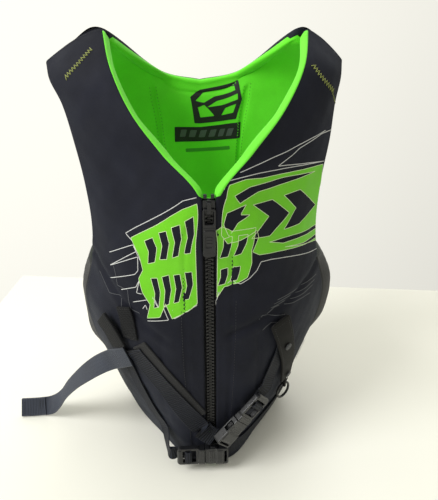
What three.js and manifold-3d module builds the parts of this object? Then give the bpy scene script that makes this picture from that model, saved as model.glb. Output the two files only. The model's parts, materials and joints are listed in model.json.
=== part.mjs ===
// Youth neoprene buoyancy vest, closed and buckled, standing on its hem. Millimetres, +Z up,
// front facing -Y, origin at the centre of the bounding box's underside.
import * as THREE from 'three';
import { mergeVertices } from 'three/addons/utils/BufferGeometryUtils.js';
import Module from 'manifold-3d';

const wasm = await Module();
wasm.setup();

// ---------- driving dimensions ----------
const SHIFT = [52.16, 15.95, 0];            // moves the vest's own axes to the origin of the box
const SKIN = 3.0;                     // outer cover and lining thickness
const GAP = 0.3;                      // clearance between stacked layers
const FOAM_GAP = 0.6;                 // clearance round the foam blocks
const ZIP_HALF = 6.5;                 // half width of the slit the zip sits in
const RIDGE_Y = 5;                    // shoulder seam between front and back panels
const ZIP_Y = -116;                   // face of the vest along the zip
const WEB_W = 25;                     // belt webbing width
const WEB_T = 1.5;                    // belt webbing thickness
const TOOTH_PITCH = 4.4;
const ZIP_Z0 = 21, ZIP_Z1 = 341;      // toothed length of the zip
const SLIDER_Z = 336;                 // lower end of the closed slider
const COVER_COLOR = 0x2b2e33, LINING_COLOR = 0x46c81c;

// Each row: x, y, z of the outer face and the full thickness, from the zip or neck edge
// to the side or armhole edge. Rows run from the hem to the shoulder ridge.
const FRONT = [
  [[6.5, -116, 0, 8], [34, -102, 0, 12], [64, -62, 0, 12], [90, -26, 0, 10], [106, 4, 0, 8]],
  [[6.5, -116, 45, 8], [37, -107, 45, 24], [72, -72, 45, 26], [101, -36, 45, 20], [121, 0, 45, 8]],
  [[6.5, -116, 95, 8], [41, -110, 95, 28], [79, -82, 95, 32], [111, -46, 95, 28], [134, -5, 95, 8]],
  [[6.5, -116, 150, 8], [44, -113, 150, 28], [85, -90, 150, 32], [120, -56, 150, 28], [147, -15, 150, 8]],
  [[6.5, -116, 200, 8], [45, -113, 200, 28], [87, -94, 200, 32], [122, -62, 200, 28], [149, -24, 200, 8]],
  [[6.5, -116, 250, 8], [44, -110, 250, 28], [82, -93, 250, 32], [112, -66, 248, 28], [136, -34, 246, 9]],
  [[6.5, -116, 300, 8], [43, -109, 300, 28], [78, -89, 300, 32], [106, -66, 298, 28], [129, -38, 296, 10]],
  [[6.5, -116, 352, 11], [38, -105, 353, 26], [73, -83, 351, 30], [105, -62, 348, 26], [131, -37, 344, 10]],
  [[40, -95, 388, 12], [66, -83, 389, 24], [92, -70, 390, 26], [116, -53, 390, 22], [138, -31, 388, 10]],
  [[70, -73, 423, 12], [88, -65, 426, 20], [108, -54, 428, 20], [129, -40, 427, 18], [146, -22, 424, 10]],
  [[91, -43, 461, 12], [104, -38, 463, 14], [122, -33, 460, 14], [140, -25, 456, 12], [157, -12, 448, 10]],
  [[102, 3.6, 497, 12], [113, 3.6, 495, 12], [130, 3.6, 487, 12], [147, 3.6, 476, 12], [162, 3.6, 465, 12]],
];
const BACK = [
  [[0, 88, 0, 8], [32, 86, 0, 12], [60, 76, 0, 12], [88, 56, 0, 10], [106, 30, 0, 8]],
  [[0, 96, 50, 26], [34, 94, 50, 26], [68, 84, 50, 26], [101, 64, 50, 22], [121, 34, 50, 8]],
  [[0, 102, 95, 30], [36, 100, 95, 30], [74, 91, 95, 30], [110, 70, 95, 26], [134, 38, 95, 8]],
  [[0, 107, 150, 30], [38, 105, 150, 30], [80, 96, 150, 30], [121, 75, 150, 26], [147, 40, 150, 8]],
  [[0, 110, 200, 30], [38, 108, 200, 30], [80, 99, 200, 30], [122, 78, 200, 26], [149, 42, 200, 8]],
  [[0, 110, 250, 30], [38, 108, 250, 30], [76, 100, 250, 30], [113, 82, 250, 26], [140, 52, 246, 9]],
  [[0, 109, 300, 30], [37, 107, 300, 30], [73, 100, 300, 30], [107, 84, 300, 26], [135, 56, 298, 10]],
  [[0, 106, 346, 28], [36, 105, 346, 28], [72, 98, 348, 28], [106, 82, 348, 26], [135, 56, 346, 10]],
  [[0, 102, 385, 24], [38, 101, 387, 24], [76, 92, 390, 24], [110, 76, 390, 20], [140, 50, 388, 10]],
  [[0, 97, 415, 18], [42, 95, 420, 20], [82, 80, 430, 18], [120, 60, 432, 14], [148, 38, 424, 10]],
  [[0, 93, 434, 12], [46, 88, 442, 12], [84, 58, 466, 12], [128, 42, 460, 12], [157, 26, 450, 10]],
  [[0, 91, 441, 12], [50, 82, 452, 12], [102, 6.4, 497, 12], [133, 6.4, 485, 12], [162, 6.4, 465, 12]],
];
// The two shoulder straps sit a little differently: shift of x at the neck and armhole edges.
const STRAP_SHIFT = { '-1': [-3, 2], '1': [6, -8] };
const U = [0, 0.1, 0.22, 0.36, 0.5, 0.64, 0.78, 0.9, 1];
const V = [0, 0.4, 1, 1.8, 2.6, 3.4, 4.2, 5, 5.8, 6.6, 7, 7.35, 8, 8.7, 9.4, 10, 10.5, 11];

// ---------- surface helpers ----------
function catmull(P, t) {
  const n = P.length, k = P[0].length;
  t = Math.min(Math.max(t, 0), n - 1);
  const i = Math.min(Math.floor(t), n - 2), f = t - i, out = [];
  for (let c = 0; c < k; c++) {
    const p1 = P[i][c], p2 = P[i + 1][c];
    const p0 = i > 0 ? P[i - 1][c] : 2 * p1 - p2;
    const p3 = i < n - 2 ? P[i + 2][c] : 2 * p2 - p1;
    out.push(0.5 * (2 * p1 + (p2 - p0) * f + (2 * p0 - 5 * p1 + 4 * p2 - p3) * f * f + (3 * p1 - p0 - 3 * p2 + p3) * f * f * f));
  }
  return out;
}
function sided(net, s) {
  return net.map((row) => {
    const z = row.reduce((a, p) => a + p[2], 0) / row.length;
    const k = Math.min(Math.max((z - 400) / 60, 0), 1), [a, b] = STRAP_SHIFT[s];
    return row.map((p, i) => {
      const u = i / (row.length - 1);
      const w = net === BACK && u < 0.5 ? u * 2 : 1;
      return [s * (p[0] + w * k * (a * (1 - u) + b * u)), p[1], p[2], p[3]];
    });
  });
}
const NETS = { F1: sided(FRONT, 1), 'F-1': sided(FRONT, -1), B1: sided(BACK, 1), 'B-1': sided(BACK, -1) };
function raw(which, s, u, v) {
  const net = NETS[which + s];
  const p = catmull(net.map((row) => catmull(row, u * (row.length - 1))), v);
  if (which === 'F' && s * p[0] < ZIP_HALF) p[0] = s * ZIP_HALF;
  return p;
}
const V3 = (x, y, z) => new THREE.Vector3(x, y, z);
function clamp01(x) { return Math.min(Math.max(x, 0), 1); }
function surf(which, s, u, v) {
  const p = raw(which, s, u, v), e = 0.004;
  const u0 = Math.max(u - e, 0), u1 = Math.min(u + e, 1);
  const v0 = Math.max(v - e * 8, 0), v1 = Math.min(v + e * 8, 11);
  const a = raw(which, s, u0, v), b = raw(which, s, u1, v), c = raw(which, s, u, v0), d = raw(which, s, u, v1);
  const su = V3(b[0] - a[0], b[1] - a[1], b[2] - a[2]).divideScalar(u1 - u0);
  const sv = V3(d[0] - c[0], d[1] - c[1], d[2] - c[2]).divideScalar(v1 - v0);
  const n = su.clone().cross(sv).normalize();
  // outward: away from the torso's axis
  const away = V3(p[0], p[1] - 0, 0);
  if (n.dot(away) < 0) n.negate();
  return { p: V3(p[0], p[1], p[2]), T: p[3], n, su, sv };
}
// Direction in which the panel's thickness is laid off: square to the face, except along the
// edges that meet another part, where the walls are kept parallel.
function laid(which, s, u, v) {
  const q = surf(which, s, u, v), d = q.n.clone();
  if (v === 0) d.z = 0;
  d.normalize();
  if (which === 'F' && u === 0 && v <= 7) d.set(0, -1, 0);
  if (u === 1 && v <= 5) d.set(s, 0, 0);
  if (v === 11 && (which === 'F' || u > 0.45)) { d.y = 0; d.normalize(); }
  return { ...q, d };
}
function at(q, off, ridge = 0) {
  const r = q.p.clone().addScaledVector(q.d, -off);
  // the front and back panels meet at the shoulder ridge with a narrow seam
  if (ridge > 0) r.y = Math.min(r.y, RIDGE_Y - 0.4);
  if (ridge < 0) r.y = Math.max(r.y, RIDGE_Y + 0.4);
  return r;
}

// ---------- solid helpers ----------
function meshFrom(name, geo, color) {
  const m = new THREE.Mesh(geo, new THREE.MeshStandardMaterial({ color, roughness: 0.8, metalness: 0 }));
  m.name = name;
  return m;
}
function orient(pos, idx) {
  let vol = 0;
  for (let i = 0; i < idx.length; i += 3) {
    const [a, b, c] = [idx[i], idx[i + 1], idx[i + 2]].map((k) => V3(pos[3 * k], pos[3 * k + 1], pos[3 * k + 2]));
    vol += a.dot(b.cross(c));
  }
  if (vol < 0) for (let i = 0; i < idx.length; i += 3) [idx[i + 1], idx[i + 2]] = [idx[i + 2], idx[i + 1]];
  const g = new THREE.BufferGeometry();
  g.setAttribute('position', new THREE.Float32BufferAttribute(pos, 3));
  g.setIndex(idx);
  return g;
}
// Closed solid between two grids of points with the same rows and columns.
function slab(outer, inner) {
  const nv = outer.length, nu = outer[0].length, pos = [], idx = [];
  for (const g of [outer, inner]) for (const row of g) for (const p of row) pos.push(p.x, p.y, p.z);
  const id = (l, j, i) => (l * nv + j) * nu + i;
  for (let j = 0; j < nv - 1; j++) for (let i = 0; i < nu - 1; i++) {
    idx.push(id(0, j, i), id(0, j, i + 1), id(0, j + 1, i + 1), id(0, j, i), id(0, j + 1, i + 1), id(0, j + 1, i));
    idx.push(id(1, j, i), id(1, j + 1, i + 1), id(1, j, i + 1), id(1, j, i), id(1, j + 1, i), id(1, j + 1, i + 1));
  }
  const wall = (a, b) => idx.push(id(0, ...a), id(1, ...a), id(1, ...b), id(0, ...a), id(1, ...b), id(0, ...b));
  for (let i = 0; i < nu - 1; i++) { wall([0, i], [0, i + 1]); wall([nv - 1, i + 1], [nv - 1, i]); }
  for (let j = 0; j < nv - 1; j++) { wall([j + 1, 0], [j, 0]); wall([j, nu - 1], [j + 1, nu - 1]); }
  return orient(pos, idx);
}
// Flat outline (with optional holes) extruded along local z, then placed by an origin and axes.
function plate(outline, z0, z1, holes = []) {
  const sh = new THREE.Shape(outline.map(([x, y]) => new THREE.Vector2(x, y)));
  for (const h of holes) sh.holes.push(new THREE.Path(h.map(([x, y]) => new THREE.Vector2(x, y))));
  const g = new THREE.ExtrudeGeometry(sh, { depth: z1 - z0, bevelEnabled: false, steps: 1, curveSegments: 6 });
  g.translate(0, 0, z0);
  return clean(g);
}
function clean(g) { g.deleteAttribute('normal'); g.deleteAttribute('uv'); return mergeVertices(g, 1e-4); }
function box(x0, x1, y0, y1, z0, z1) {
  const g = new THREE.BoxGeometry(x1 - x0, y1 - y0, z1 - z0);
  g.translate((x0 + x1) / 2, (y0 + y1) / 2, (z0 + z1) / 2);
  return clean(g);
}
function rounded(x0, x1, y0, y1, r, n = 3) {
  const out = [];
  for (const [cx, cy, a0] of [[x1 - r, y1 - r, 0], [x0 + r, y1 - r, 90], [x0 + r, y0 + r, 180], [x1 - r, y0 + r, 270]])
    for (let k = 0; k <= n; k++) {
      const a = (a0 + (90 * k) / n) * Math.PI / 180;
      out.push([cx + r * Math.cos(a), cy + r * Math.sin(a)]);
    }
  return out;
}
function toManifold(g) {
  const p = g.getAttribute('position').array, i = g.getIndex().array;
  return new wasm.Manifold(new wasm.Mesh({ numProp: 3, vertProperties: new Float32Array(p), triVerts: new Uint32Array(i) }));
}
function fromManifold(m) {
  const r = m.getMesh(), g = new THREE.BufferGeometry(), n = r.numProp, pos = [];
  for (let k = 0; k < r.vertProperties.length; k += n) pos.push(r.vertProperties[k], r.vertProperties[k + 1], r.vertProperties[k + 2]);
  g.setAttribute('position', new THREE.Float32BufferAttribute(pos, 3));
  g.setIndex(Array.from(r.triVerts));
  return g;
}
function add(...gs) { return fromManifold(gs.map(toManifold).reduce((a, b) => a.add(b))); }
function cut(g, ...tools) { return fromManifold(tools.map(toManifold).reduce((a, b) => a.subtract(b), toManifold(g))); }
function place(g, o, x, y, z) {
  const m = new THREE.Matrix4().makeBasis(x, y, z);
  m.setPosition(...o);
  const out = g.clone();
  out.applyMatrix4(m);
  return out;
}

// ---------- panels ----------
const group = new THREE.Group();
group.name = 'life_jacket';
function put(name, geo, color) { group.add(meshFrom(name, geo, color)); }

function grid(which, s, us, vs, off) {
  return vs.map((v) => us.map((u) => { const q = laid(which, s, u, v); return at(q, off(q, u, v), v > 9 ? 1 : 0); }));
}
const sideName = { '-1': 'right', 1: 'left' };
const edgeClosed = (which, u, v) => {
  // where the lining is brought up to the underside of the cover
  if (v === 0 || u === 1) return true;
  if (which === 'F') return u === 0 && v > 7;
  return false;
};
const UF = U.slice(1, -1), VF = V.slice(1, -1);
for (const s of [-1, 1]) {
  const liningOff = (q, u, v) => (edgeClosed('F', u, v) ? SKIN + GAP : q.T - SKIN);
  put(`${sideName[s]}_front_cover`, slab(grid('F', s, U, V, () => 0), grid('F', s, U, V, () => SKIN)), COVER_COLOR);
  put(`${sideName[s]}_front_foam`, slab(grid('F', s, UF, VF, () => SKIN + FOAM_GAP), grid('F', s, UF, VF, (q) => q.T - SKIN - FOAM_GAP)), 0xd8d4c4);
  put(`${sideName[s]}_front_lining`, slab(grid('F', s, U, V, liningOff), grid('F', s, U, V, (q) => q.T)), LINING_COLOR);
}
// full-width back panel: left half mirrored columns, centre, right half
const UH = [0.1, 0.22, 0.36, 0.39, 0.5, 0.64, 0.78, 0.9, 1];
const UB = [...UH.slice().reverse().map((u) => -u), 0, ...UH];
const VB = [0, 0.4, 1, 1.8, 2.6, 3.4, 4.2, 5, 5.8, 6.6, 7.4, 8.2, 8.8, 9.4, 10, 10.5, 11];
function backGrid(us, vs, off) {
  return vs.map((v) => us.map((w) => {
    const s = w < 0 ? -1 : 1, u = Math.abs(w), q = laid('B', s, u, v);
    if (u === 0) { q.d.x = 0; q.d.normalize(); }
    return at(q, off(q, w, v), v > 9 && Math.abs(w) > 0.45 ? -1 : 0);
  }));
}
const backClosed = (w, v) => v === 0 || Math.abs(w) === 1 || (v === 11 && Math.abs(w) < 0.6);
put('back_cover', slab(backGrid(UB, VB, () => 0), backGrid(UB, VB, () => SKIN)), COVER_COLOR);
put('back_lining', slab(backGrid(UB, VB, (q, w, v) => (backClosed(w, v) ? SKIN + GAP : q.T - SKIN)), backGrid(UB, VB, (q) => q.T)), LINING_COLOR);
const VBF = VB.slice(1, -2);
const foamPart = (name, us, vs) => put(name, slab(backGrid(us, vs, () => SKIN + FOAM_GAP), backGrid(us, vs, (q) => q.T - SKIN - FOAM_GAP)), 0xd8d4c4);
foamPart('back_foam_centre', UB.filter((w) => Math.abs(w) <= 0.37), VBF);
foamPart('back_foam_right', UB.filter((w) => w <= -0.39 && w > -1), VBF);
foamPart('back_foam_left', UB.filter((w) => w >= 0.39 && w < 1), VBF);

// side panels close the body between the front and back panels, below the armholes
const SV = [0, 0.4, 1, 1.8, 2.6, 3.0, 3.4, 4.2, 5];
const BULGE = { 0: 2, 0.4: 2, 1: 2, 1.8: 2.5, 2.6: 3.5, 3: 6, 3.4: 9.5, 4.2: 10, 5: 6 };
for (const s of [-1, 1]) {
  const g = (off) => SV.map((v) => {
    const f = raw('F', s, 1, v), b = raw('B', s, 1, v), row = [];
    const y0 = f[1] + 0.35, y1 = b[1] - 0.35, w = [0, 0.18, 0.5, 0.82, 1];
    for (const t of w) {
      const k = Math.min(4 * t * (1 - t) * 1.3, 1);
      row.push(V3(s * (Math.abs(f[0]) + (Math.abs(b[0]) - Math.abs(f[0])) * t + k * BULGE[v] - off), y0 + (y1 - y0) * t, f[2] + (b[2] - f[2]) * t));
    }
    return row;
  });
  put(`${sideName[s]}_side_panel`, slab(g(0), g(6.3)), 0x26282a);
}

// ---------- zip ----------
const Y_TAPE = ZIP_Y + 3.4, Y_TOOTH = ZIP_Y + 1.4;    // front faces of the tape and of the teeth
const ZIP_TOP = 350;
for (const s of [-1, 1]) {
  const n = sideName[s];
  put(`zip_tape_${n}`, box(...(s > 0 ? [4.5, 7.4] : [-7.4, -4.5]), Y_TAPE + 0.3, Y_TAPE + 1.2, 14, ZIP_TOP + 1), 0x17181a);
  // a cord bead with a comb of teeth that reach past the centre line, between the other side's
  const pts = [[s * 4.15, ZIP_Z0 - 9], [s * 2.5, ZIP_Z0 - 9]];
  const count = Math.floor((ZIP_Z1 - ZIP_Z0) / TOOTH_PITCH);
  for (let k = 0; k < count; k++) {
    const z = ZIP_Z0 + (k + (s > 0 ? 0.5 : 0)) * TOOTH_PITCH;
    pts.push([s * 2.5, z], [-s * 1.9, z + 0.35], [-s * 1.9, z + 1.25], [s * 2.5, z + 1.6]);
  }
  pts.push([s * 2.5, ZIP_TOP], [s * 4.15, ZIP_TOP]);
  const g = plate(pts, 0, 3.2);
  // drawn in x and z, thickness along y
  put(`zip_teeth_${n}`, place(g, [0, Y_TOOTH + 3.2, 0], V3(1, 0, 0), V3(0, 0, 1), V3(0, -1, 0)), 0x101112);
  put(`zip_top_stop_${n}`, box(...(s > 0 ? [1.9, 5.2] : [-5.2, -1.9]), Y_TOOTH - 0.4, Y_TOOTH + 3.6, ZIP_TOP + 1.3, ZIP_TOP + 5), 0x101112);
}
put('zip_retainer_box', box(-4.15, 2.2, Y_TOOTH - 0.6, Y_TOOTH + 4.2, 4, ZIP_Z0 - 9.3), 0x101112);
put('zip_insertion_pin', box(2.6, 4.2, Y_TOOTH, Y_TOOTH + 3, 4.5, ZIP_Z0 - 9.3), 0x101112);
put('zip_backing_flap', box(-6.1, 6.1, ZIP_Y + 6.9, ZIP_Y + 8.4, 3, 350), LINING_COLOR);
{
  const z0 = SLIDER_Z, z1 = SLIDER_Z + 14.2, yf = Y_TOOTH - 0.35, yb = Y_TOOTH + 3.55;
  const face = [[-3.6, z0], [3.6, z0], [5.9, z0 + 7], [5.9, z1 - 1], [4.6, z1], [-4.6, z1], [-5.9, z1 - 1], [-5.9, z0 + 7]];
  const onY = (g, y) => place(g, [0, y, 0], V3(1, 0, 0), V3(0, 0, 1), V3(0, -1, 0));
  const front = onY(plate(face, 0, 1.5), yf), back = onY(plate(face, -1.3, 0), yb);
  // wedge between the rows, above the last meshed teeth
  const wedge = box(-1.6, 1.6, yf - 0.5, yb + 0.5, z1 - 6.2, z1 - 1);
  // side walls wrap round the beads and leave a slot for the tape
  const walls = [-1, 1].flatMap((s) => {
    const x = s > 0 ? [4.85, 5.9] : [-5.9, -4.85];
    return [box(...x, yf - 0.5, Y_TAPE - 0.3, z0 + 7, z1 - 1), box(...x, Y_TAPE + 1.5, yb + 0.5, z0 + 7, z1 - 1)];
  });
  // bridge that carries the pull
  const bridge = cut(box(-2, 2, yf - 5.6, yf - 1, z0 + 1.5, z1 - 2), box(-3, 3, yf - 4.2, yf - 1.5, z0 + 3.6, z1 - 4.2));
  put('zip_slider', add(front, back, wedge, ...walls, bridge), 0x141516);
  // pull: a flat tab hung on the bridge, with a window at the top and a raised grip at the end
  const zt = z0 + 6.4, yp = yf - 2.1;
  const outline = rounded(-6.3, 6.3, zt - 50, zt, 2.4);
  const window = rounded(-4.4, 4.4, zt - 16, zt - 1.6, 1.2);
  const body = onY(plate(outline, -0.8, 0.8, [window]), yp - 0.9);
  const rim = cut(onY(plate(rounded(-5.6, 5.6, zt - 45, zt - 22, 2), 0, 1.1), yp - 1.6), onY(plate(rounded(-3.6, 3.6, zt - 40, zt - 27, 1.2), 0.2, 2), yp - 1.6));
  put('zip_pull', add(body, rim), 0x1b1c1e);
}

// ---------- strips laid on a panel ----------
// Finds the panel point a given step away along the face (two corrections are enough).
function walk(which, s, u, v, dir, dist) {
  const q0 = surf(which, s, u, v), target = q0.p.clone().addScaledVector(dir, dist);
  let uu = u, vv = v;
  for (let k = 0; k < 4; k++) {
    const q = surf(which, s, uu, vv), e = target.clone().sub(q.p);
    const a = q.su.dot(q.su), b = q.su.dot(q.sv), c = q.sv.dot(q.sv), ea = e.dot(q.su), eb = e.dot(q.sv), det = a * c - b * b;
    uu = clamp01(uu + (ea * c - eb * b) / det);
    vv = Math.min(Math.max(vv + (eb * a - ea * b) / det, 0), 11);
  }
  return surf(which, s, uu, vv);
}
// path: list of [u, v]; a strip of the given width and thickness, its underside `lift` off the face
function onPanel(which, s, path, width, lift, thick, steps, shape = () => 1, across = 4) {
  const outer = [], inner = [];
  for (let j = 0; j <= steps; j++) {
    const t = (j / steps) * (path.length - 1), [u, v] = catmull(path, t);
    const t0 = Math.max(t - 0.05, 0), t1 = Math.min(t + 0.05, path.length - 1);
    const a = catmull(path, t0), b = catmull(path, t1);
    const tan = surf(which, s, b[0], b[1]).p.sub(surf(which, s, a[0], a[1]).p).normalize();
    const q = surf(which, s, u, v), side = q.n.clone().cross(tan).normalize(), ro = [], ri = [];
    for (let i = 0; i <= across; i++) {
      const w = (i / across - 0.5) * width * shape(j / steps);
      const r = walk(which, s, u, v, side, w);
      ri.push(r.p.clone().addScaledVector(r.n, lift));
      ro.push(r.p.clone().addScaledVector(r.n, lift + thick));
    }
    outer.push(ro); inner.push(ri);
  }
  return slab(outer, inner);
}
// free strip through the air: centre points and the direction of its width at each
function ribbon(points, widths, width, thick, steps) {
  const outer = [], inner = [], n = points.length - 1;
  for (let j = 0; j <= steps; j++) {
    const t = (j / steps) * n, p = V3(...catmull(points, t)), w = V3(...catmull(widths, t)).normalize();
    const a = V3(...catmull(points, Math.max(t - 0.02, 0))), b = V3(...catmull(points, Math.min(t + 0.02, n)));
    const tan = b.sub(a).normalize();
    w.addScaledVector(tan, -w.dot(tan)).normalize();
    const nrm = tan.clone().cross(w).normalize(), ro = [], ri = [];
    for (const k of [-0.5, 0.5]) {
      ro.push(p.clone().addScaledVector(w, k * width).addScaledVector(nrm, thick / 2));
      ri.push(p.clone().addScaledVector(w, k * width).addScaledVector(nrm, -thick / 2));
    }
    outer.push(ro); inner.push(ri);
  }
  return slab(outer, inner);
}


// ---------- buckles ----------
// Local axes: x from the socket's closed end to the plug's end, z away from the body, mouth at x = 0.
function axes(d, n) {
  const x = V3(...d).normalize(), z = V3(...n);
  z.addScaledVector(x, -z.dot(x)).normalize();
  return [x, z.clone().cross(x).normalize(), z];
}
const UPPER = { o: [35, -121.2, 75.6], ax: axes([57, 23.5, 51.5], [0.45, -0.86, -0.1]), ls: 35, lp: 39, w: 26, t: 10 };
const LOWER = { o: [-8, -123.7, 27], ax: axes([-1, 0, 0], [0, -1, 0]), ls: 28, lp: 33, w: 26, t: 10.4 };
function socket(L, W, T) {
  const h = W / 2;
  const g = plate([[-L, -h + 2], [-L + 2, -h], [-L + 6, -h], [-L + 9, -h], [0, -h + 0.8], [0, h - 0.8], [-L + 9, h], [-L + 6, h], [-L + 2, h], [-L, h - 2]], -T / 2, T / 2);
  const cavity = box(-23, 1, -h + 2.6, h - 2.6, -3, 3);
  const windows = [-1, 1].map((s) => box(-17, -5.4, s > 0 ? h - 3 : -h - 1, s > 0 ? h + 1 : -h + 3, -3, 3));
  const slot = box(-L + 2, -L + 4.6, -h + 3.5, h - 3.5, -T, T);
  const step = box(-L / 2 + 1, 1, -h - 1, h + 1, T / 2 - 1, T);
  return cut(g, cavity, ...windows, slot, step);
}
function plug(L, W, T) {
  const h = W / 2;
  const base = box(0.5, 8, -h + 1.2, h - 1.2, -T / 2 + 0.6, T / 2 - 0.6);
  const prong = box(-21, 2, -2.6, 2.6, -2, 2);
  const frame = cut(plate(rounded(6, L, -h, h, 3.5), -3, 3), box(11, L - 14.5, -h + 3.6, h - 3.6, -5, 5), box(L - 10.5, L - 6, -h + 3.6, h - 3.6, -5, 5));
  const roll = place(clean(new THREE.CylinderGeometry(3.9, 3.9, W - 4, 12)), [L - 2.6, 0, 0], V3(1, 0, 0), V3(0, 1, 0), V3(0, 0, 1));
  return add(base, prong, frame, roll);
}
// An arm ends in a barb that shows in the socket's side window; it bends about its root at x = 0.
function arm(s, W) {
  const r = W / 2 - 4.2;
  const pts = [[0.15, r - 3], [0.15, r], [-5.9, r], [-6.3, W / 2 - 0.6], [-12, W / 2 - 0.6], [-16.4, W / 2 - 3.4], [-17.4, r - 2.2], [-16, r - 3]].map(([x, y]) => [x, s * y]);
  return plate(pts, -2.2, 2.2);
}
// Webbing threaded through the plug's ladder: under the end roll, over the middle bar and back under.
function threaded(b, width) {
  const c = [[52, -6.3], [44, -5.8], [37, -5.4], [34.6, -4.2], [33.5, -1], [33.3, 2.4], [31.8, 4.6], [27.2, 4.6], [25.5, 2.4], [25.2, -1.6], [23.4, -4.4], [20, -5]].map(([x, z]) => [x + b.lp - 42, z]);
  const t = 0.65, up = [], dn = [];
  c.forEach((p, k) => {
    const a = c[Math.max(k - 1, 0)], d = c[Math.min(k + 1, c.length - 1)], l = Math.hypot(d[0] - a[0], d[1] - a[1]);
    const n = [-(d[1] - a[1]) / l, (d[0] - a[0]) / l];
    up.push([p[0] + n[0] * t, p[1] + n[1] * t]); dn.push([p[0] - n[0] * t, p[1] - n[1] * t]);
  });
  const g = plate([...up, ...dn.reverse()], -width / 2, width / 2);
  const [x, y, z] = b.ax;
  return place(g, b.o, x, z, y.clone().negate());
}
function local(b, x, y, z) {
  return V3(...b.o).addScaledVector(b.ax[0], x).addScaledVector(b.ax[1], y).addScaledVector(b.ax[2], z);
}
for (const [name, b] of [['upper', UPPER], ['lower', LOWER]]) {
  put(`${name}_buckle_socket`, place(socket(b.ls, b.w, b.t), b.o, ...b.ax), 0x232425);
  put(`${name}_buckle_plug`, place(plug(b.lp, b.w, b.t), b.o, ...b.ax), 0x232425);
  put(`${name}_buckle_arm_a`, place(arm(1, b.w), b.o, ...b.ax), 0x232425);
  put(`${name}_buckle_arm_b`, place(arm(-1, b.w), b.o, ...b.ax), 0x232425);
}

// ---------- belts, tabs and keepers ----------
// Centre line made of panel points (lifted off the face) and free points, with width directions.
function beltLine(s, onFace, lift, free = [], before = []) {
  const pts = [], ws = [], pathPts = onFace.map(([u, v]) => surf('F', s, u, v));
  for (const [p, w] of before) { pts.push(p); ws.push(w); }
  pathPts.forEach((q, k) => {
    const a = pathPts[Math.max(k - 1, 0)].p, b = pathPts[Math.min(k + 1, pathPts.length - 1)].p;
    const w = q.n.clone().cross(b.clone().sub(a)).normalize();
    pts.push(q.p.clone().addScaledVector(q.n, lift).toArray()); ws.push(w.toArray());
  });
  for (const [p, w] of free) { pts.push(p); ws.push(w); }
  return [pts, ws];
}
// Wearer's right: both belts start under a sewn tab on the flank and run down to the buckles.
put('right_belt_tab', onPanel('F', -1, [[0.725, 3.92], [0.645, 3.66], [0.59, 3.3]], 27, 5.2, 3, 4, () => 1, 3), 0x303338);
put('right_keeper', onPanel('F', -1, [[0.555, 4.42], [0.52, 4.1], [0.505, 3.62]], 21, 1.2, 1.6, 3, () => 1, 2), 0x2a2b2c);
put('upper_belt_right', ribbon(...beltLine(-1, [[0.495, 3.32], [0.475, 3.2], [0.395, 2.86], [0.305, 2.48], [0.195, 2.0], [0.085, 1.55]], 2.6,
  [[[-6, -120.6, 59], [-0.55, -0.1, -0.8]], [[4, -122.6, 52.5], [-0.55, -0.1, -0.8]]]), WEB_W, WEB_T, 16), 0x2c2f34);
{
  const w = LOWER.ax[1].clone().negate().toArray();
  const strip = ribbon(...beltLine(-1, [[0.60, 3.1], [0.57, 2.75], [0.525, 2.1], [0.46, 1.44], [0.385, 0.95]], 2.4,
    [[local(LOWER, 43.5, 0, -7).toArray(), w], [local(LOWER, 33, 0, -5.6).toArray(), w]]), 18, WEB_T, 16);
  put('lower_belt_right', add(strip, threaded(LOWER, 18)), 0x2c2f34);
}
// Wearer's left: a coated keeper tab with two snaps covers the belt's end.
{
  const w = UPPER.ax[1].toArray();
  const strip = ribbon(...beltLine(1, [[0.428, 2.5], [0.455, 2.8], [0.485, 3.15], [0.50, 3.5]], 2.4,
    [], [[local(UPPER, 41, 0, -5.8).toArray(), w], [local(UPPER, 50, 0, -6.2).toArray(), w]]), 21, WEB_T, 14);
  put('upper_belt_left', add(strip, threaded(UPPER, 18)), 0x2c2f34);
}
put('left_keeper', onPanel('F', 1, [[0.43, 4.1], [0.506, 3.27], [0.56, 2.7], [0.612, 2.0]], 26, 4.6, 2.0, 8, (t) => 1 - 0.2 * t, 3), 0x1b1c1e);
{
  const w = LOWER.ax[1].clone().negate().toArray();
  put('lower_belt_left', ribbon(...beltLine(1, [[0.26, 0.62], [0.42, 0.7], [0.62, 0.85], [0.84, 1.05]], 2.2,
    [], [[local(LOWER, -22, 0, -6.9).toArray(), w], [local(LOWER, -29, 0, -7.1).toArray(), w]]), 20, WEB_T, 14), 0x2c2f34);
}
function snap(which, s, u, v, lift, r, h) {
  const q = surf(which, s, u, v), g = new THREE.CylinderGeometry(r * 0.8, r, h, 12);
  const up = q.n, x = V3(0, 0, 1).cross(up).normalize(), z = x.clone().cross(up);
  return place(clean(g), q.p.clone().addScaledVector(up, lift + h / 2).toArray(), x, up, z);
}
put('left_keeper_snap_upper', snap('F', 1, 0.506, 3.27, 6.95, 4.6, 1.6), 0x2a2b2d);
put('left_keeper_snap_lower', snap('F', 1, 0.60, 2.2, 6.95, 4.6, 1.6), 0x2a2b2d);
put('care_label', onPanel('F', 1, [[0.84, 2.05], [0.84, 2.5]], 15, 1.2, 0.6, 2, () => 1, 2), 0xe8e8e8);
// folded and double sewn free end of the upper belt: off the flank, through the air, onto the table
put('upper_belt_tail', ribbon(
  [[-94, -91.8, 155], [-104.8, -82.4, 146], [-119, -68, 133], [-135, -58, 119], [-152, -50, 103], [-170, -42, 84], [-189, -32, 59], [-204, -23, 34], [-219, -16, 17.8], [-238, -12, 12], [-263, -12, 11.9]],
  [[-0.39, 0.3, 0.85], [-0.39, 0.35, 0.84], [-0.34, 0.45, 0.8], [-0.3, 0.6, 0.7], [-0.25, 0.75, 0.6], [-0.1, 0.85, 0.5], [0, 0.85, 0.5], [0, 0.8, 0.55], [0, 0.65, 0.75], [0, 0.5, 0.86], [0, 0.5, 0.86]], WEB_W, WEB_T, 20), 0x484f5e);

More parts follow.
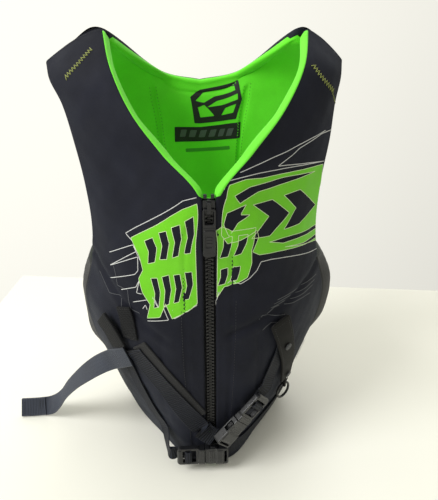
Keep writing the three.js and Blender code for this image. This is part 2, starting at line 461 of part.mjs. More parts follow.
// ---------- lanyard ring ----------
const RING = { c: [97.5, -63.5, 67.5], r: 10.8, t: 1.6 };
const RN = V3(0.6, -0.8, 0).normalize(), RX = V3(0, 0, 1).cross(RN).normalize();
{
  const g = clean(new THREE.TorusGeometry(RING.r, RING.t, 8, 28));
  put('lanyard_ring', place(g, RING.c, RX.clone().negate(), V3(0, 0, 1), RN.clone().negate()), 0x141516);
  // tab: a webbing piece sewn to the panel, ending in an eye square to the ring's wire
  const top = V3(...RING.c).addScaledVector(V3(0, 0, 1), RING.r);
  const outline = [[-3.6, -3.4], [3.2, -3.4], [3.2, 1.5], [1.2, 5], [-0.2, 11], [-3.4, 11], [-3.6, 4.5]], hole = [];
  for (let k = 0; k < 12; k++) hole.push([2.4 * Math.cos(k * Math.PI / 6), 2.4 * Math.sin(k * Math.PI / 6) + 0.4]);
  const eye = place(plate(outline, -1.6, 1.6, [hole]), top.toArray(), RN.clone().negate(), V3(0, 0, 1), RX.clone());
  put('ring_tab', add(eye, onPanel('F', 1, [[0.645, 2.1], [0.64, 1.95], [0.635, 1.82]], 10, 1.2, 2.4, 3, () => 1, 2)), 0x1b1c1e);
}

group.position.set(...SHIFT);
export default group;
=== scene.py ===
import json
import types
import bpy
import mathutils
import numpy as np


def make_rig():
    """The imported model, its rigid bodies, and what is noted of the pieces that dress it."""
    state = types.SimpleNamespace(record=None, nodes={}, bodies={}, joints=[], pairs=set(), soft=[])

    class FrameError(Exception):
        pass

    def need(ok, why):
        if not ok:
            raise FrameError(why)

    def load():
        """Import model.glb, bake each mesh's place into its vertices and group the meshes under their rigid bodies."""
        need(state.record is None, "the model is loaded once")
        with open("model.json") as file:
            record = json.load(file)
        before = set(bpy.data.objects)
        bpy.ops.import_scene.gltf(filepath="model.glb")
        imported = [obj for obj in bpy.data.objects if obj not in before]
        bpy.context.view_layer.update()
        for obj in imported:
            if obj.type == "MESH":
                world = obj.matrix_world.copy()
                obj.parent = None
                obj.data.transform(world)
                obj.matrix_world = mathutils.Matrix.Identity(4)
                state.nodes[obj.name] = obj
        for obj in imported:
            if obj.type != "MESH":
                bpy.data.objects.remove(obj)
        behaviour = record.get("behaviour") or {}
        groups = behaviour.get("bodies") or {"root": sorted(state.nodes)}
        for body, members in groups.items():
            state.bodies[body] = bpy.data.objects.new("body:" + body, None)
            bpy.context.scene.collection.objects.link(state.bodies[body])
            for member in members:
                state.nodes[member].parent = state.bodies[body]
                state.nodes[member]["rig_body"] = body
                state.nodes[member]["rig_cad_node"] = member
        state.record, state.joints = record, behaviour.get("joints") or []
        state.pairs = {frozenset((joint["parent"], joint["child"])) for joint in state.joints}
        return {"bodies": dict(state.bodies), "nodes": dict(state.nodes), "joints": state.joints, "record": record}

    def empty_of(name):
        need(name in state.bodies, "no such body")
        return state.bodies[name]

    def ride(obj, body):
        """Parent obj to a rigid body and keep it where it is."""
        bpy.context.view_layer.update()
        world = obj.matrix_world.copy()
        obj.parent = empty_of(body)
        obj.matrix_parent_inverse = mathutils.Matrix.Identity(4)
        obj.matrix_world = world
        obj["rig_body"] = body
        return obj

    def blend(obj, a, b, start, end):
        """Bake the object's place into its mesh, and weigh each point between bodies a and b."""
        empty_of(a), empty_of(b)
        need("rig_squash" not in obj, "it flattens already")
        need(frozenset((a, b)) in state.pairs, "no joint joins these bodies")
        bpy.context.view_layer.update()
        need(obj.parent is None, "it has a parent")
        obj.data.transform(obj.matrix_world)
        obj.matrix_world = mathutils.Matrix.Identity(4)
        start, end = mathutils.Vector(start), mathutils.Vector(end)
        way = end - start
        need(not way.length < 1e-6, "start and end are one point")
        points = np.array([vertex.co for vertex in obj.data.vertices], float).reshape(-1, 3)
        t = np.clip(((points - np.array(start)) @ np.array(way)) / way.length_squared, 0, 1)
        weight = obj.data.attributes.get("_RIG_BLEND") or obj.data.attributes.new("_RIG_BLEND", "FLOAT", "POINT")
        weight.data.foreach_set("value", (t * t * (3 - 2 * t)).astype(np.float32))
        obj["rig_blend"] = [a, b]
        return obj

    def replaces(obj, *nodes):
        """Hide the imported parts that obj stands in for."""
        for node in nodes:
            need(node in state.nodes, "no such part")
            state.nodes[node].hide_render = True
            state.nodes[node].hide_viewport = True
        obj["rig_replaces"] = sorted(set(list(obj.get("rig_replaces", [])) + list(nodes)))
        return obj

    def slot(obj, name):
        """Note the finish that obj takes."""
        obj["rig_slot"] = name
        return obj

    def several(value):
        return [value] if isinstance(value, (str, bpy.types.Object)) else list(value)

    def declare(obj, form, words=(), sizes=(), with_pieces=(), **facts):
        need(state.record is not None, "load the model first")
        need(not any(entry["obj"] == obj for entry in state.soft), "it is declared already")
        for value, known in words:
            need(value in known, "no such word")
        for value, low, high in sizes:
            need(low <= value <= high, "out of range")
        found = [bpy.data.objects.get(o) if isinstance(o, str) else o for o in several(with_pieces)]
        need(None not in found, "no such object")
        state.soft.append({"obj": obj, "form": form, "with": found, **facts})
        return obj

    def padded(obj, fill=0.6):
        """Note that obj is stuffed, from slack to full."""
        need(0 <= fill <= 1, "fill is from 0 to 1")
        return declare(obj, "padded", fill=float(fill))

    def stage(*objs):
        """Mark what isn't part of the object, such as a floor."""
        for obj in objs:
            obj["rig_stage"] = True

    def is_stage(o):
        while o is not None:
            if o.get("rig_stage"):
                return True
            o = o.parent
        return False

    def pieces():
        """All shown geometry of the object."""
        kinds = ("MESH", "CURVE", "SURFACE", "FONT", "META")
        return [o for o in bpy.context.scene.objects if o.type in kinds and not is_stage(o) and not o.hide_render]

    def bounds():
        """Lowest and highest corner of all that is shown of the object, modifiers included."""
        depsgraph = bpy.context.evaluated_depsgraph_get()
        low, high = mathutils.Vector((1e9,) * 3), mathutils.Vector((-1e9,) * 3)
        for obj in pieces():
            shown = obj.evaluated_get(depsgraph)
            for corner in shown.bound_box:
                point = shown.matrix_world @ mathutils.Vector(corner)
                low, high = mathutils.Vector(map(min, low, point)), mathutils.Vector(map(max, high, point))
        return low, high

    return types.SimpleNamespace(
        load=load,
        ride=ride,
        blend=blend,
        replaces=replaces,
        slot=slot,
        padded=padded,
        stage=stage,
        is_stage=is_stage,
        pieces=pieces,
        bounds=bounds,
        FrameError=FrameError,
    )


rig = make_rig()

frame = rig.load()        # bodies, nodes, joints, record

import json
import math
import bpy
import bmesh
import numpy as np
from mathutils import Vector, Matrix
from mathutils.geometry import delaunay_2d_cdt

CAD_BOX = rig.bounds()

# ------------------------------------------------------------------ driving dimensions (mm)
SHIFT = np.array([52.16, 15.95, 0.0])
SKIN, GAP, ZIP_HALF, RIDGE_Y, ZIP_Y = 3.0, 0.3, 6.5, 5.0, -116.0
WEB_W, WEB_T, TOOTH_PITCH = 25.0, 1.5, 4.4
ZIP_Z0, ZIP_Z1, SLIDER_Z, ZIP_TOP = 21.0, 341.0, 336.0, 350.0
Y_TAPE, Y_TOOTH = ZIP_Y + 3.4, ZIP_Y + 1.4

FRONT = [
    [[6.5, -116, 0, 8], [34, -102, 0, 12], [64, -62, 0, 12], [90, -26, 0, 10], [106, 4, 0, 8]],
    [[6.5, -116, 45, 8], [37, -107, 45, 24], [72, -72, 45, 26], [101, -36, 45, 20], [121, 0, 45, 8]],
    [[6.5, -116, 95, 8], [41, -110, 95, 28], [79, -82, 95, 32], [111, -46, 95, 28], [134, -5, 95, 8]],
    [[6.5, -116, 150, 8], [44, -113, 150, 28], [85, -90, 150, 32], [120, -56, 150, 28], [147, -15, 150, 8]],
    [[6.5, -116, 200, 8], [45, -113, 200, 28], [87, -94, 200, 32], [122, -62, 200, 28], [149, -24, 200, 8]],
    [[6.5, -116, 250, 8], [44, -110, 250, 28], [82, -93, 250, 32], [112, -66, 248, 28], [136, -34, 246, 9]],
    [[6.5, -116, 300, 8], [43, -109, 300, 28], [78, -89, 300, 32], [106, -66, 298, 28], [129, -38, 296, 10]],
    [[6.5, -116, 352, 11], [38, -105, 353, 26], [73, -83, 351, 30], [105, -62, 348, 26], [131, -37, 344, 10]],
    [[40, -95, 388, 12], [66, -83, 389, 24], [92, -70, 390, 26], [116, -53, 390, 22], [138, -31, 388, 10]],
    [[70, -73, 423, 12], [88, -65, 426, 20], [108, -54, 428, 20], [129, -40, 427, 18], [146, -22, 424, 10]],
    [[91, -43, 461, 12], [104, -38, 463, 14], [122, -33, 460, 14], [140, -25, 456, 12], [157, -12, 448, 10]],
    [[102, 3.6, 497, 12], [113, 3.6, 495, 12], [130, 3.6, 487, 12], [147, 3.6, 476, 12], [162, 3.6, 465, 12]],
]
BACK = [
    [[0, 88, 0, 8], [32, 86, 0, 12], [60, 76, 0, 12], [88, 56, 0, 10], [106, 30, 0, 8]],
    [[0, 96, 50, 26], [34, 94, 50, 26], [68, 84, 50, 26], [101, 64, 50, 22], [121, 34, 50, 8]],
    [[0, 102, 95, 30], [36, 100, 95, 30], [74, 91, 95, 30], [110, 70, 95, 26], [134, 38, 95, 8]],
    [[0, 107, 150, 30], [38, 105, 150, 30], [80, 96, 150, 30], [121, 75, 150, 26], [147, 40, 150, 8]],
    [[0, 110, 200, 30], [38, 108, 200, 30], [80, 99, 200, 30], [122, 78, 200, 26], [149, 42, 200, 8]],
    [[0, 110, 250, 30], [38, 108, 250, 30], [76, 100, 250, 30], [113, 82, 250, 26], [140, 52, 246, 9]],
    [[0, 109, 300, 30], [37, 107, 300, 30], [73, 100, 300, 30], [107, 84, 300, 26], [135, 56, 298, 10]],
    [[0, 106, 346, 28], [36, 105, 346, 28], [72, 98, 348, 28], [106, 82, 348, 26], [135, 56, 346, 10]],
    [[0, 102, 385, 24], [38, 101, 387, 24], [76, 92, 390, 24], [110, 76, 390, 20], [140, 50, 388, 10]],
    [[0, 97, 415, 18], [42, 95, 420, 20], [82, 80, 430, 18], [120, 60, 432, 14], [148, 38, 424, 10]],
    [[0, 93, 434, 12], [46, 88, 442, 12], [84, 58, 466, 12], [128, 42, 460, 12], [157, 26, 450, 10]],
    [[0, 91, 441, 12], [50, 82, 452, 12], [102, 6.4, 497, 12], [133, 6.4, 485, 12], [162, 6.4, 465, 12]],
]
STRAP_SHIFT = {-1: (-3, 2), 1: (6, -8)}
# sewn creases and seams of the front panels: side, (u, v) points, depth, half width
CREASES = {
    1: [([(0.10, 3.93), (0.144, 3.99), (0.5, 4.42), (0.912, 4.88), (0.99, 4.98)], 2.2, 3.4),
        ([(0.30, 3.85), (0.315, 3.2), (0.344, 2.03), (0.34, 1.2)], 1.1, 2.2),
        ([(0.105, 0.3), (0.11, 3.0), (0.115, 5.0), (0.10, 6.4)], 1.0, 1.8)],
    -1: [([(0.99, 5.45), (0.919, 5.36), (0.66, 4.75), (0.369, 4.02), (0.27, 3.8)], 1.5, 3.2),
         ([(0.30, 3.85), (0.315, 3.2), (0.344, 2.03), (0.34, 1.2)], 0.8, 2.2),
         ([(0.125, 0.3), (0.13, 3.0), (0.13, 5.0), (0.12, 6.4)], 0.9, 1.6)],
}

# ------------------------------------------------------------------ surfaces
def sided(net, s, back):
    n = np.array(net, float)
    a, b = STRAP_SHIFT[s]
    for r in range(len(n)):
        k = min(max((n[r, :, 2].mean() - 400) / 60, 0), 1)
        u = np.linspace(0, 1, n.shape[1])
        w = np.where(u < 0.5, u * 2, 1.0) if back else np.ones_like(u)
        n[r, :, 0] += w * k * (a * (1 - u) + b * u)
    n[..., 0] *= s
    return n


NETS = {(w, s): sided(net, s, w == "B") for w, net in (("F", FRONT), ("B", BACK)) for s in (-1, 1)}


def weights(t, n):
    t = np.clip(np.asarray(t, float), 0, n - 1)
    i = np.minimum(t.astype(int), n - 2)
    f = t - i
    c = (-0.5 * f + f**2 - 0.5 * f**3, 1 - 2.5 * f**2 + 1.5 * f**3, 0.5 * f + 2 * f**2 - 1.5 * f**3, -0.5 * f**2 + 0.5 * f**3)
    W = np.zeros((len(t), n))
    r = np.arange(len(t))
    for k in range(4):
        j = i - 1 + k
        lo, hi = j < 0, j > n - 1
        mid = ~(lo | hi)
        np.add.at(W, (r[mid], j[mid]), c[k][mid])
        W[lo, 0] += 2 * c[k][lo]; W[lo, 1] -= c[k][lo]
        W[hi, n - 1] += 2 * c[k][hi]; W[hi, n - 2] -= c[k][hi]
    return W


def curve(P, t):
    P = np.asarray(P, float)
    return weights(t, len(P)) @ P


def raw(which, s, u, v):
    net = NETS[which, s]
    p = np.einsum("na,abk,nb->nk", weights(v, net.shape[0]), net, weights(np.asarray(u) * 4, 5))
    if which == "F":
        p[:, 0] = s * np.maximum(s * p[:, 0], ZIP_HALF)
    return p


def unit(a):
    return a / np.maximum(np.linalg.norm(a, axis=-1, keepdims=True), 1e-12)


def smooth(x):
    x = np.clip(x, 0, 1)
    return x * x * (3 - 2 * x)


def surf(which, s, u, v):
    u, v = np.asarray(u, float), np.asarray(v, float)
    p = raw(which, s, u, v)
    e = 0.004
    u0, u1 = np.maximum(u - e, 0), np.minimum(u + e, 1)
    v0, v1 = np.maximum(v - e * 8, 0), np.minimum(v + e * 8, 11)
    su = (raw(which, s, u1, v) - raw(which, s, u0, v))[:, :3] / (u1 - u0)[:, None]
    sv = (raw(which, s, u, v1) - raw(which, s, u, v0))[:, :3] / (v1 - v0)[:, None]
    n = unit(np.cross(su, sv)) * (1 if (which, s) in (("F", 1), ("B", -1)) else -1)
    return p[:, :3], n, p[:, 3], su, sv


def roll(d, R):
    """How far a rounded edge of radius R lies under the face, at distance d from the edge."""
    x = R - np.minimum(np.maximum(d, 0), R)
    return R - np.sqrt(np.maximum(R * R - x * x, 0))


def dist_to(P, line):
    a, b = line[:-1], line[1:]
    ab = b - a
    t = np.einsum("nij,ij->ni", P[:, None] - a[None], ab) / np.maximum((ab**2).sum(1), 1e-9)
    t = np.clip(t, 0, 1)
    q = a[None] + t[..., None] * ab[None]
    return np.sqrt(((P[:, None] - q) ** 2).sum(-1)).min(1)


def line3d(which, s, path, n=60):
    uv = curve(path, np.linspace(0, len(path) - 1, n))
    return raw(which, s, np.clip(uv[:, 0], 0, 1), np.clip(uv[:, 1], 0, 11))[:, :3]


CREASE_LINES = {s: [(line3d("F", s, p), d, w) for p, d, w in CREASES[s]] for s in (-1, 1)}
HINGE = 0.375          # |w| of the back's two sewn hinges


def waves(P):
    """Slight unevenness of soft foam panels, mm."""
    x, y, z = P.T
    return (0.34 * np.sin(0.061 * x + 0.043 * z + 1.3) + 0.26 * np.sin(0.113 * z - 0.072 * x + 0.4)
            + 0.2 * np.sin(0.151 * x + 0.097 * z + 2.2) + 0.12 * np.sin(0.27 * z + 0.21 * x) + 0.1 * np.sin(0.33 * x - 0.19 * z + 0.09 * y))


def shell(which, s, u, v, inner=False):
    """Everything about a panel point: place, direction of thickness, thickness, and distances to the edges."""
    P, n, T, su, sv = surf(which, s, u, v)
    du0 = np.linalg.norm(P - raw(which, s, np.zeros_like(u), v)[:, :3], axis=1)
    du1 = np.linalg.norm(P - raw(which, s, np.ones_like(u), v)[:, :3], axis=1)
    dv0 = np.linalg.norm(P - raw(which, s, u, np.zeros_like(v))[:, :3], axis=1)
    dv1 = np.linalg.norm(P - raw(which, s, u, np.full_like(v, 11))[:, :3], axis=1)
    d = n.copy()
    k = smooth(dv0 / 25)
    d[:, 2] *= k
    d = unit(d)
    if which == "F":
        k = ((1 - smooth(du0 / 24)) * (1 - smooth((v - 6.9) / 0.35)))[:, None]
        d = unit(d * (1 - k) + np.array([0, -1, 0]) * k)
    else:
        k = smooth(du0 / 20)
        d[:, 0] *= k
        d = unit(d)
    k = ((1 - smooth(du1 / 22)) * (1 - smooth((v - 4.9) / 0.5)))[:, None]
    d = unit(d * (1 - k) + np.array([s, 0, 0]) * k)
    k = 1 - smooth(dv1 / 22)
    if which == "B":
        k = k * smooth((u - 0.44) / 0.06)
    d[:, 1] *= 1 - k
    d = unit(d)
    return dict(P=P, n=n, T=T, d=d, du0=du0, du1=du1, dv0=dv0, dv1=dv1, u=u, v=v, which=which, s=s, su=su, sv=sv)


def face_off(q):
    """Depth of the outer face under the plain surface: rounded edges, seams and unevenness."""
    u, v, T = q["u"], q["v"], q["T"]
    if q["which"] == "F":
        neck = smooth((v - 6.85) / 0.3)
        off = roll(q["du0"], 2.4) * (1 - neck) + roll(q["du0"], 4.6) * neck
    else:
        off = roll(q["dv1"], 4.0) * (1 - smooth((u - 0.42) / 0.08))
    arm = smooth((v - 4.9) / 0.3)
    off = off + roll(q["du1"], 2.2) * (1 - arm) + roll(q["du1"], 4.0) * arm
    off = off + roll(q["dv0"], 3.5)
    ridge = roll(q["dv1"], 1.6)
    off = off + (ridge if q["which"] == "F" else ridge * smooth((u - 0.42) / 0.08))
    edge = np.minimum(q["du1"], np.minimum(q["dv0"], q["dv1"]))
    if q["which"] == "F":
        edge = np.minimum(edge, q["du0"])
    inside = smooth((edge - 2) / 18)
    rel = waves(q["P"]) * inside
    if q["which"] == "F":
        for line, depth, w in CREASE_LINES[q["s"]]:
            g = dist_to(q["P"], line)
            rel = rel - depth * np.exp(-((g / w) ** 2)) + 0.3 * depth * np.exp(-(((g - 2.9 * w) / (1.5 * w)) ** 2))
    else:
        half = np.abs(q["u"] - HINGE) * 150
        on = smooth((q["v"] - 0.25) / 0.5) * smooth((9.1 - q["v"]) / 0.6)
        rel = rel - on * (2.4 * np.exp(-((half / 3.6) ** 2)) - 0.4 * np.exp(-(((half - 11) / 6) ** 2)))
    return np.minimum(off - np.minimum(rel, 0.85), 0.55 * T)


def put_at(q, off):
    r = q["P"] - q["d"] * np.asarray(off)[:, None]
    high = q["v"] > 9
    if q["which"] == "F":
        r[high, 1] = np.minimum(r[high, 1], RIDGE_Y - 0.4)
        low = q["v"] <= 7
        r[low, 0] = q["s"] * np.maximum(q["s"] * r[low, 0], ZIP_HALF)
    else:
        high = high & (q["u"] > 0.45)
        r[high, 1] = np.maximum(r[high, 1], RIDGE_Y + 0.4)
    r[:, 2] = np.maximum(r[:, 2], 0.0)
    return r


def on_face(which, s, u, v, h):
    """Points h mm above the outer face, and its normals there."""
    u, v = np.clip(np.asarray(u, float), 0, 1), np.clip(np.asarray(v, float), 0, 11)
    q = shell(which, s, u, v)
    return put_at(q, face_off(q) - h), q["n"]


def lining_in(q):
    u, v, T = q["u"], q["v"], q["T"]
    if q["which"] == "F":
        neck = smooth((v - 6.85) / 0.3)
        off = roll(q["du0"], 1.2) * (1 - neck) + roll(q["du0"], 4.0) * neck
        off = off + 1.1 * np.exp(-(((q["du0"] - 15) / 1.7) ** 2)) * neck * smooth((T - 12) / 4)
    else:
        rim = 1 - smooth((u - 0.42) / 0.08)
        off = roll(q["dv1"], 4.0) * rim + 1.1 * np.exp(-(((q["dv1"] - 15) / 1.7) ** 2)) * rim
        half = np.abs(u - HINGE) * 150
        on = smooth((v - 0.25) / 0.5) * smooth((9.6 - v) / 0.5)
        off = off + on * (3.4 * np.exp(-((half / 3.2) ** 2)) - 0.5 * np.exp(-(((half - 11) / 6) ** 2)))
        off = off - 0.6 * np.sin(0.05 * q["P"][:, 2] + 0.04 * q["P"][:, 0]) * smooth((T - 14) / 8)
    off = off + roll(q["du1"], 3.0) + roll(q["dv0"], 3.0)
    return T - np.maximum(off, 0) * np.minimum(1, (T - 6) / 4)


def split(q):
    """Depth at which the pad ends and the lining begins."""
    edge = np.minimum(q["du1"], q["dv0"])
    if q["which"] == "F":
        edge = np.minimum(edge, np.where(q["v"] > 7.0, q["du0"], 99))
    else:
        edge = np.minimum(edge, np.where(q["u"] < 0.46, q["dv1"], 99))
    k = smooth(edge / 10)
    near = np.minimum(4.4, 0.5 * q["T"])
    return np.maximum(near * (1 - k) + (q["T"] - 3.3 - 0.4) * k, face_off(q) + 0.8)


# ------------------------------------------------------------------ mesh helpers
MADE = {}


def finish_mesh(name, verts, faces, uv=None, angle=50, body="vest", slot=None, mat=None, nodes=(), smooth_on=True):
    """Makes an object from mm points in the vest's own axes."""
    co = (np.asarray(verts, float) + SHIFT) / 1000.0
    me = bpy.data.meshes.new(name)
    me.from_pydata(co.tolist(), [], [list(map(int, f)) for f in faces])
    me.update()
    bm = bmesh.new()
    bm.from_mesh(me)
    layer = bm.loops.layers.uv.new("weave") if uv is not None else None
    if layer is not None:
        for f in bm.faces:
            for l in f.loops:
                l[layer].uv = uv[l.vert.index]
    if bm.calc_volume(signed=True) < 0:
        bmesh.ops.reverse_faces(bm, faces=bm.faces[:])
    bm.to_mesh(me)
    bm.free()
    if smooth_on:
        me.shade_smooth()
        if angle < 180:
            me.set_sharp_from_angle(angle=math.radians(angle))
    ob = bpy.data.objects.new(name, me)
    bpy.context.scene.collection.objects.link(ob)
    if mat is not None:
        me.materials.append(mat)
    if body:
        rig.ride(ob, body)
    if slot:
        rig.slot(ob, slot)
    if nodes:
        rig.replaces(ob, *nodes)
    MADE[name] = ob
    return ob


def slab_faces(nv, nu):
    i = np.arange(nv * nu).reshape(nv, nu)
    a = np.stack([i[:-1, :-1], i[:-1, 1:], i[1:, 1:], i[1:, :-1]], -1).reshape(-1, 4)
    n = nv * nu
    b = a[:, ::-1] + n
    f = [a, b]
    for e0, e1 in ((i[0, :-1], i[0, 1:]), (i[-1, 1:], i[-1, :-1]), (i[1:, 0], i[:-1, 0]), (i[:-1, -1], i[1:, -1])):
        f.append(np.stack([e0, e0 + n, e1 + n, e1], -1))
    return np.concatenate(f)


def arc_uv(grid):
    """Texture place in cm along and across a grid of points."""
    du = np.concatenate([np.zeros((grid.shape[0], 1)), np.cumsum(np.linalg.norm(np.diff(grid, axis=1), axis=2), 1)], 1)
    dv = np.concatenate([np.zeros((1, grid.shape[1])), np.cumsum(np.linalg.norm(np.diff(grid, axis=0), axis=2), 0)], 0)
    return np.stack([du, dv], -1).reshape(-1, 2) / 10.0


def slab(outer, inner):
    nv, nu = outer.shape[:2]
    v = np.concatenate([outer.reshape(-1, 3), inner.reshape(-1, 3)])
    uv = arc_uv(outer)
    return v, slab_faces(nv, nu), np.concatenate([uv, uv])


def join(parts):
    V, F, U, n = [], [], [], 0
    for v, f, uv in parts:
        V.append(np.asarray(v)); U.append(np.asarray(uv) if uv is not None else np.zeros((len(v), 2)))
        F += [[int(i) + n for i in face] for face in f]
        n += len(v)
    return np.concatenate(V), F, np.concatenate(U)


def tube(P, r, k=8, closed=False):
    P = np.asarray(P, float)
    n = len(P)
    T = unit(np.roll(P, -1, 0) - np.roll(P, 1, 0)) if closed else unit(np.gradient(P, axis=0))
    r = np.broadcast_to(np.asarray(r, float), (n,))
    N = np.zeros((n, 3))
    a = np.array([0, 0, 1.0]) if abs(T[0, 2]) < 0.9 else np.array([1.0, 0, 0])
    N[0] = unit(a - T[0] * a.dot(T[0]))
    for i in range(1, n):
        x = N[i - 1] - T[i] * N[i - 1].dot(T[i])
        N[i] = unit(x)
    B = np.cross(T, N)
    th = np.arange(k) * 2 * np.pi / k
    V = (P[:, None] + r[:, None, None] * (np.cos(th)[None, :, None] * N[:, None] + np.sin(th)[None, :, None] * B[:, None])).reshape(-1, 3)
    F = []
    m = n if closed else n - 1
    for i in range(m):
        j = (i + 1) % n
        for t in range(k):
            F.append([i * k + t, i * k + (t + 1) % k, j * k + (t + 1) % k, j * k + t])
    if not closed:
        V = np.concatenate([V, [P[0] - T[0] * r[0] * 0.5, P[-1] + T[-1] * r[-1] * 0.5]])
        c0, c1 = n * k, n * k + 1
        for t in range(k):
            F.append([c0, (t + 1) % k, t])
            F.append([c1, (n - 1) * k + t, (n - 1) * k + (t + 1) % k])
    return V, F, None


def resample(P, step):
    P = np.asarray(P, float)
    L = np.concatenate([[0], np.cumsum(np.linalg.norm(np.diff(P, axis=0), axis=1))])
    n = max(int(round(L[-1] / step)), 2)
    t = np.linspace(0, L[-1], n + 1)
    return np.stack([np.interp(t, L, P[:, c]) for c in range(P.shape[1])], 1)


def uv_path(which, s, path, step, spline=True):
    """(u, v) points at even steps along the face."""
    path = np.asarray(path, float)
    if spline and len(path) > 2:
        uv = curve(path, np.linspace(0, len(path) - 1, 40 * len(path)))
    else:
        uv = np.concatenate([np.linspace(a, b, 60) for a, b in zip(path[:-1], path[1:])])
    P = raw(which, s, np.clip(uv[:, 0], 0, 1), np.clip(uv[:, 1], 0, 11))[:, :3]
    L = np.concatenate([[0], np.cumsum(np.linalg.norm(np.diff(P, axis=0), axis=1))])
    n = max(int(round(L[-1] / step)), 1)
    t = np.linspace(0, L[-1], n + 1)
    return np.stack([np.interp(t, L, uv[:, 0]), np.interp(t, L, uv[:, 1])], 1)


def spindle(a, b, r, k=6):
    """One stitch: a short thread that dives in at both ends."""
    a, b = np.asarray(a, float), np.asarray(b, float)
    t = unit(b - a)
    h = np.array([0, 0, 1.0]) if abs(t[2]) < 0.9 else np.array([1.0, 0, 0])
    n = unit(h - t * h.dot(t)); m = np.cross(t, n)
    V = [a]
    for c, rr in ((a + (b - a) * 0.18, r), (a + (b - a) * 0.82, r)):
        for i in range(k):
            w = 2 * np.pi * i / k
            V.append(c + rr * (math.cos(w) * n + math.sin(w) * m))
    V.append(b)
    F = []
    for i in range(k):
        j = (i + 1) % k
        F += [[0, 1 + j, 1 + i], [1 + i, 1 + j, 1 + k + j, 1 + k + i], [1 + 2 * k, 1 + k + i, 1 + k + j]]
    return V, F, None


def stitch_run(P, pitch=3.2, length=2.3, r=0.28):
    """Dashes along a polyline of points that already lie on the cloth."""
    Q = resample(P, 0.4)
    L = np.concatenate([[0], np.cumsum(np.linalg.norm(np.diff(Q, axis=0), axis=1))])
    out, t = [], 0.6
    while t + length < L[-1]:
        a = np.array([np.interp(t, L, Q[:, c]) for c in range(3)])
        b = np.array([np.interp(t + length, L, Q[:, c]) for c in range(3)])
        out.append(spindle(a, b, r))
        t += pitch
    return out


def strap(C, W, width, thick, pitch=2.4, amp=0.22, per=5, cols=12, lift=None):
    """Webbing: a closed flat band along centre points C with width directions W, ribbed across."""
    C, W = np.asarray(C, float), np.asarray(W, float)
    L = np.concatenate([[0], np.cumsum(np.linalg.norm(np.diff(C, axis=0), axis=1))])
    n = max(int(L[-1] / (pitch / per)), 4)
    t = np.linspace(0, L[-1], n + 1)
    C = np.stack([np.interp(t, L, C[:, c]) for c in range(3)], 1)
    W = np.stack([np.interp(t, L, W[:, c]) for c in range(3)], 1)
    T = unit(np.gradient(C, axis=0))
    W = unit(W - T * (W * T).sum(1, keepdims=True))
    N = np.cross(T, W)
    w = np.broadcast_to(np.asarray(width, float), (n + 1,)) if np.ndim(width) == 0 else np.interp(t, np.linspace(0, L[-1], len(width)), width)
    e = np.array([0, 0.35, 1.1, 1.7])
    x = np.concatenate([e, np.linspace(2.4, 22.6, cols - 8), 25 - e[::-1]]) / 25.0 - 0.5
    base = np.array([0.22, 0.42, 0.52, 0.42] + [0.5] * (cols - 8) + [0.42, 0.52, 0.42, 0.22])
    rib = np.array([0, 0, 0.15, 0.5] + [1.0] * (cols - 8) + [0.5, 0.15, 0, 0])
    ph = t * 2 * np.pi / pitch
    hi = thick * base[None] + amp * rib[None] * (0.5 * np.cos(ph)[:, None] - 0.5)
    lo = thick * base[None] + amp * rib[None] * (0.5 * np.cos(ph + np.pi)[:, None] - 0.5)
    up = C[:, None] + W[:, None] * (x[None, :, None] * w[:, None, None]) + N[:, None] * hi[..., None]
    dn = C[:, None] + W[:, None] * (x[None, :, None] * w[:, None, None]) - N[:, None] * lo[..., None]
    v = np.concatenate([up.reshape(-1, 3), dn.reshape(-1, 3)])
    uv = np.stack([np.broadcast_to(x[None] * w[:, None], (n + 1, cols)), np.broadcast_to(t[:, None], (n + 1, cols))], -1).reshape(-1, 2) / 10
    return v, slab_faces(n + 1, cols), np.concatenate([uv, uv])


def walk(which, s, u, v, direction, dist):
    """Panel points a given step away along the face."""
    P, n, T, su, sv = surf(which, s, u, v)
    target = P + direction * dist[:, None]
    uu, vv = u.copy(), v.copy()
    for _ in range(4):
        P, n, T, su, sv = surf(which, s, uu, vv)
        e = target - P
        a, b, c = (su * su).sum(1), (su * sv).sum(1), (sv * sv).sum(1)
        ea, eb = (e * su).sum(1), (e * sv).sum(1)
        det = a * c - b * b
        uu = np.clip(uu + (ea * c - eb * b) / det, 0, 1)
        vv = np.clip(vv + (eb * a - ea * b) / det, 0, 11)
    P, n, T, su, sv = surf(which, s, uu, vv)
    return P, n


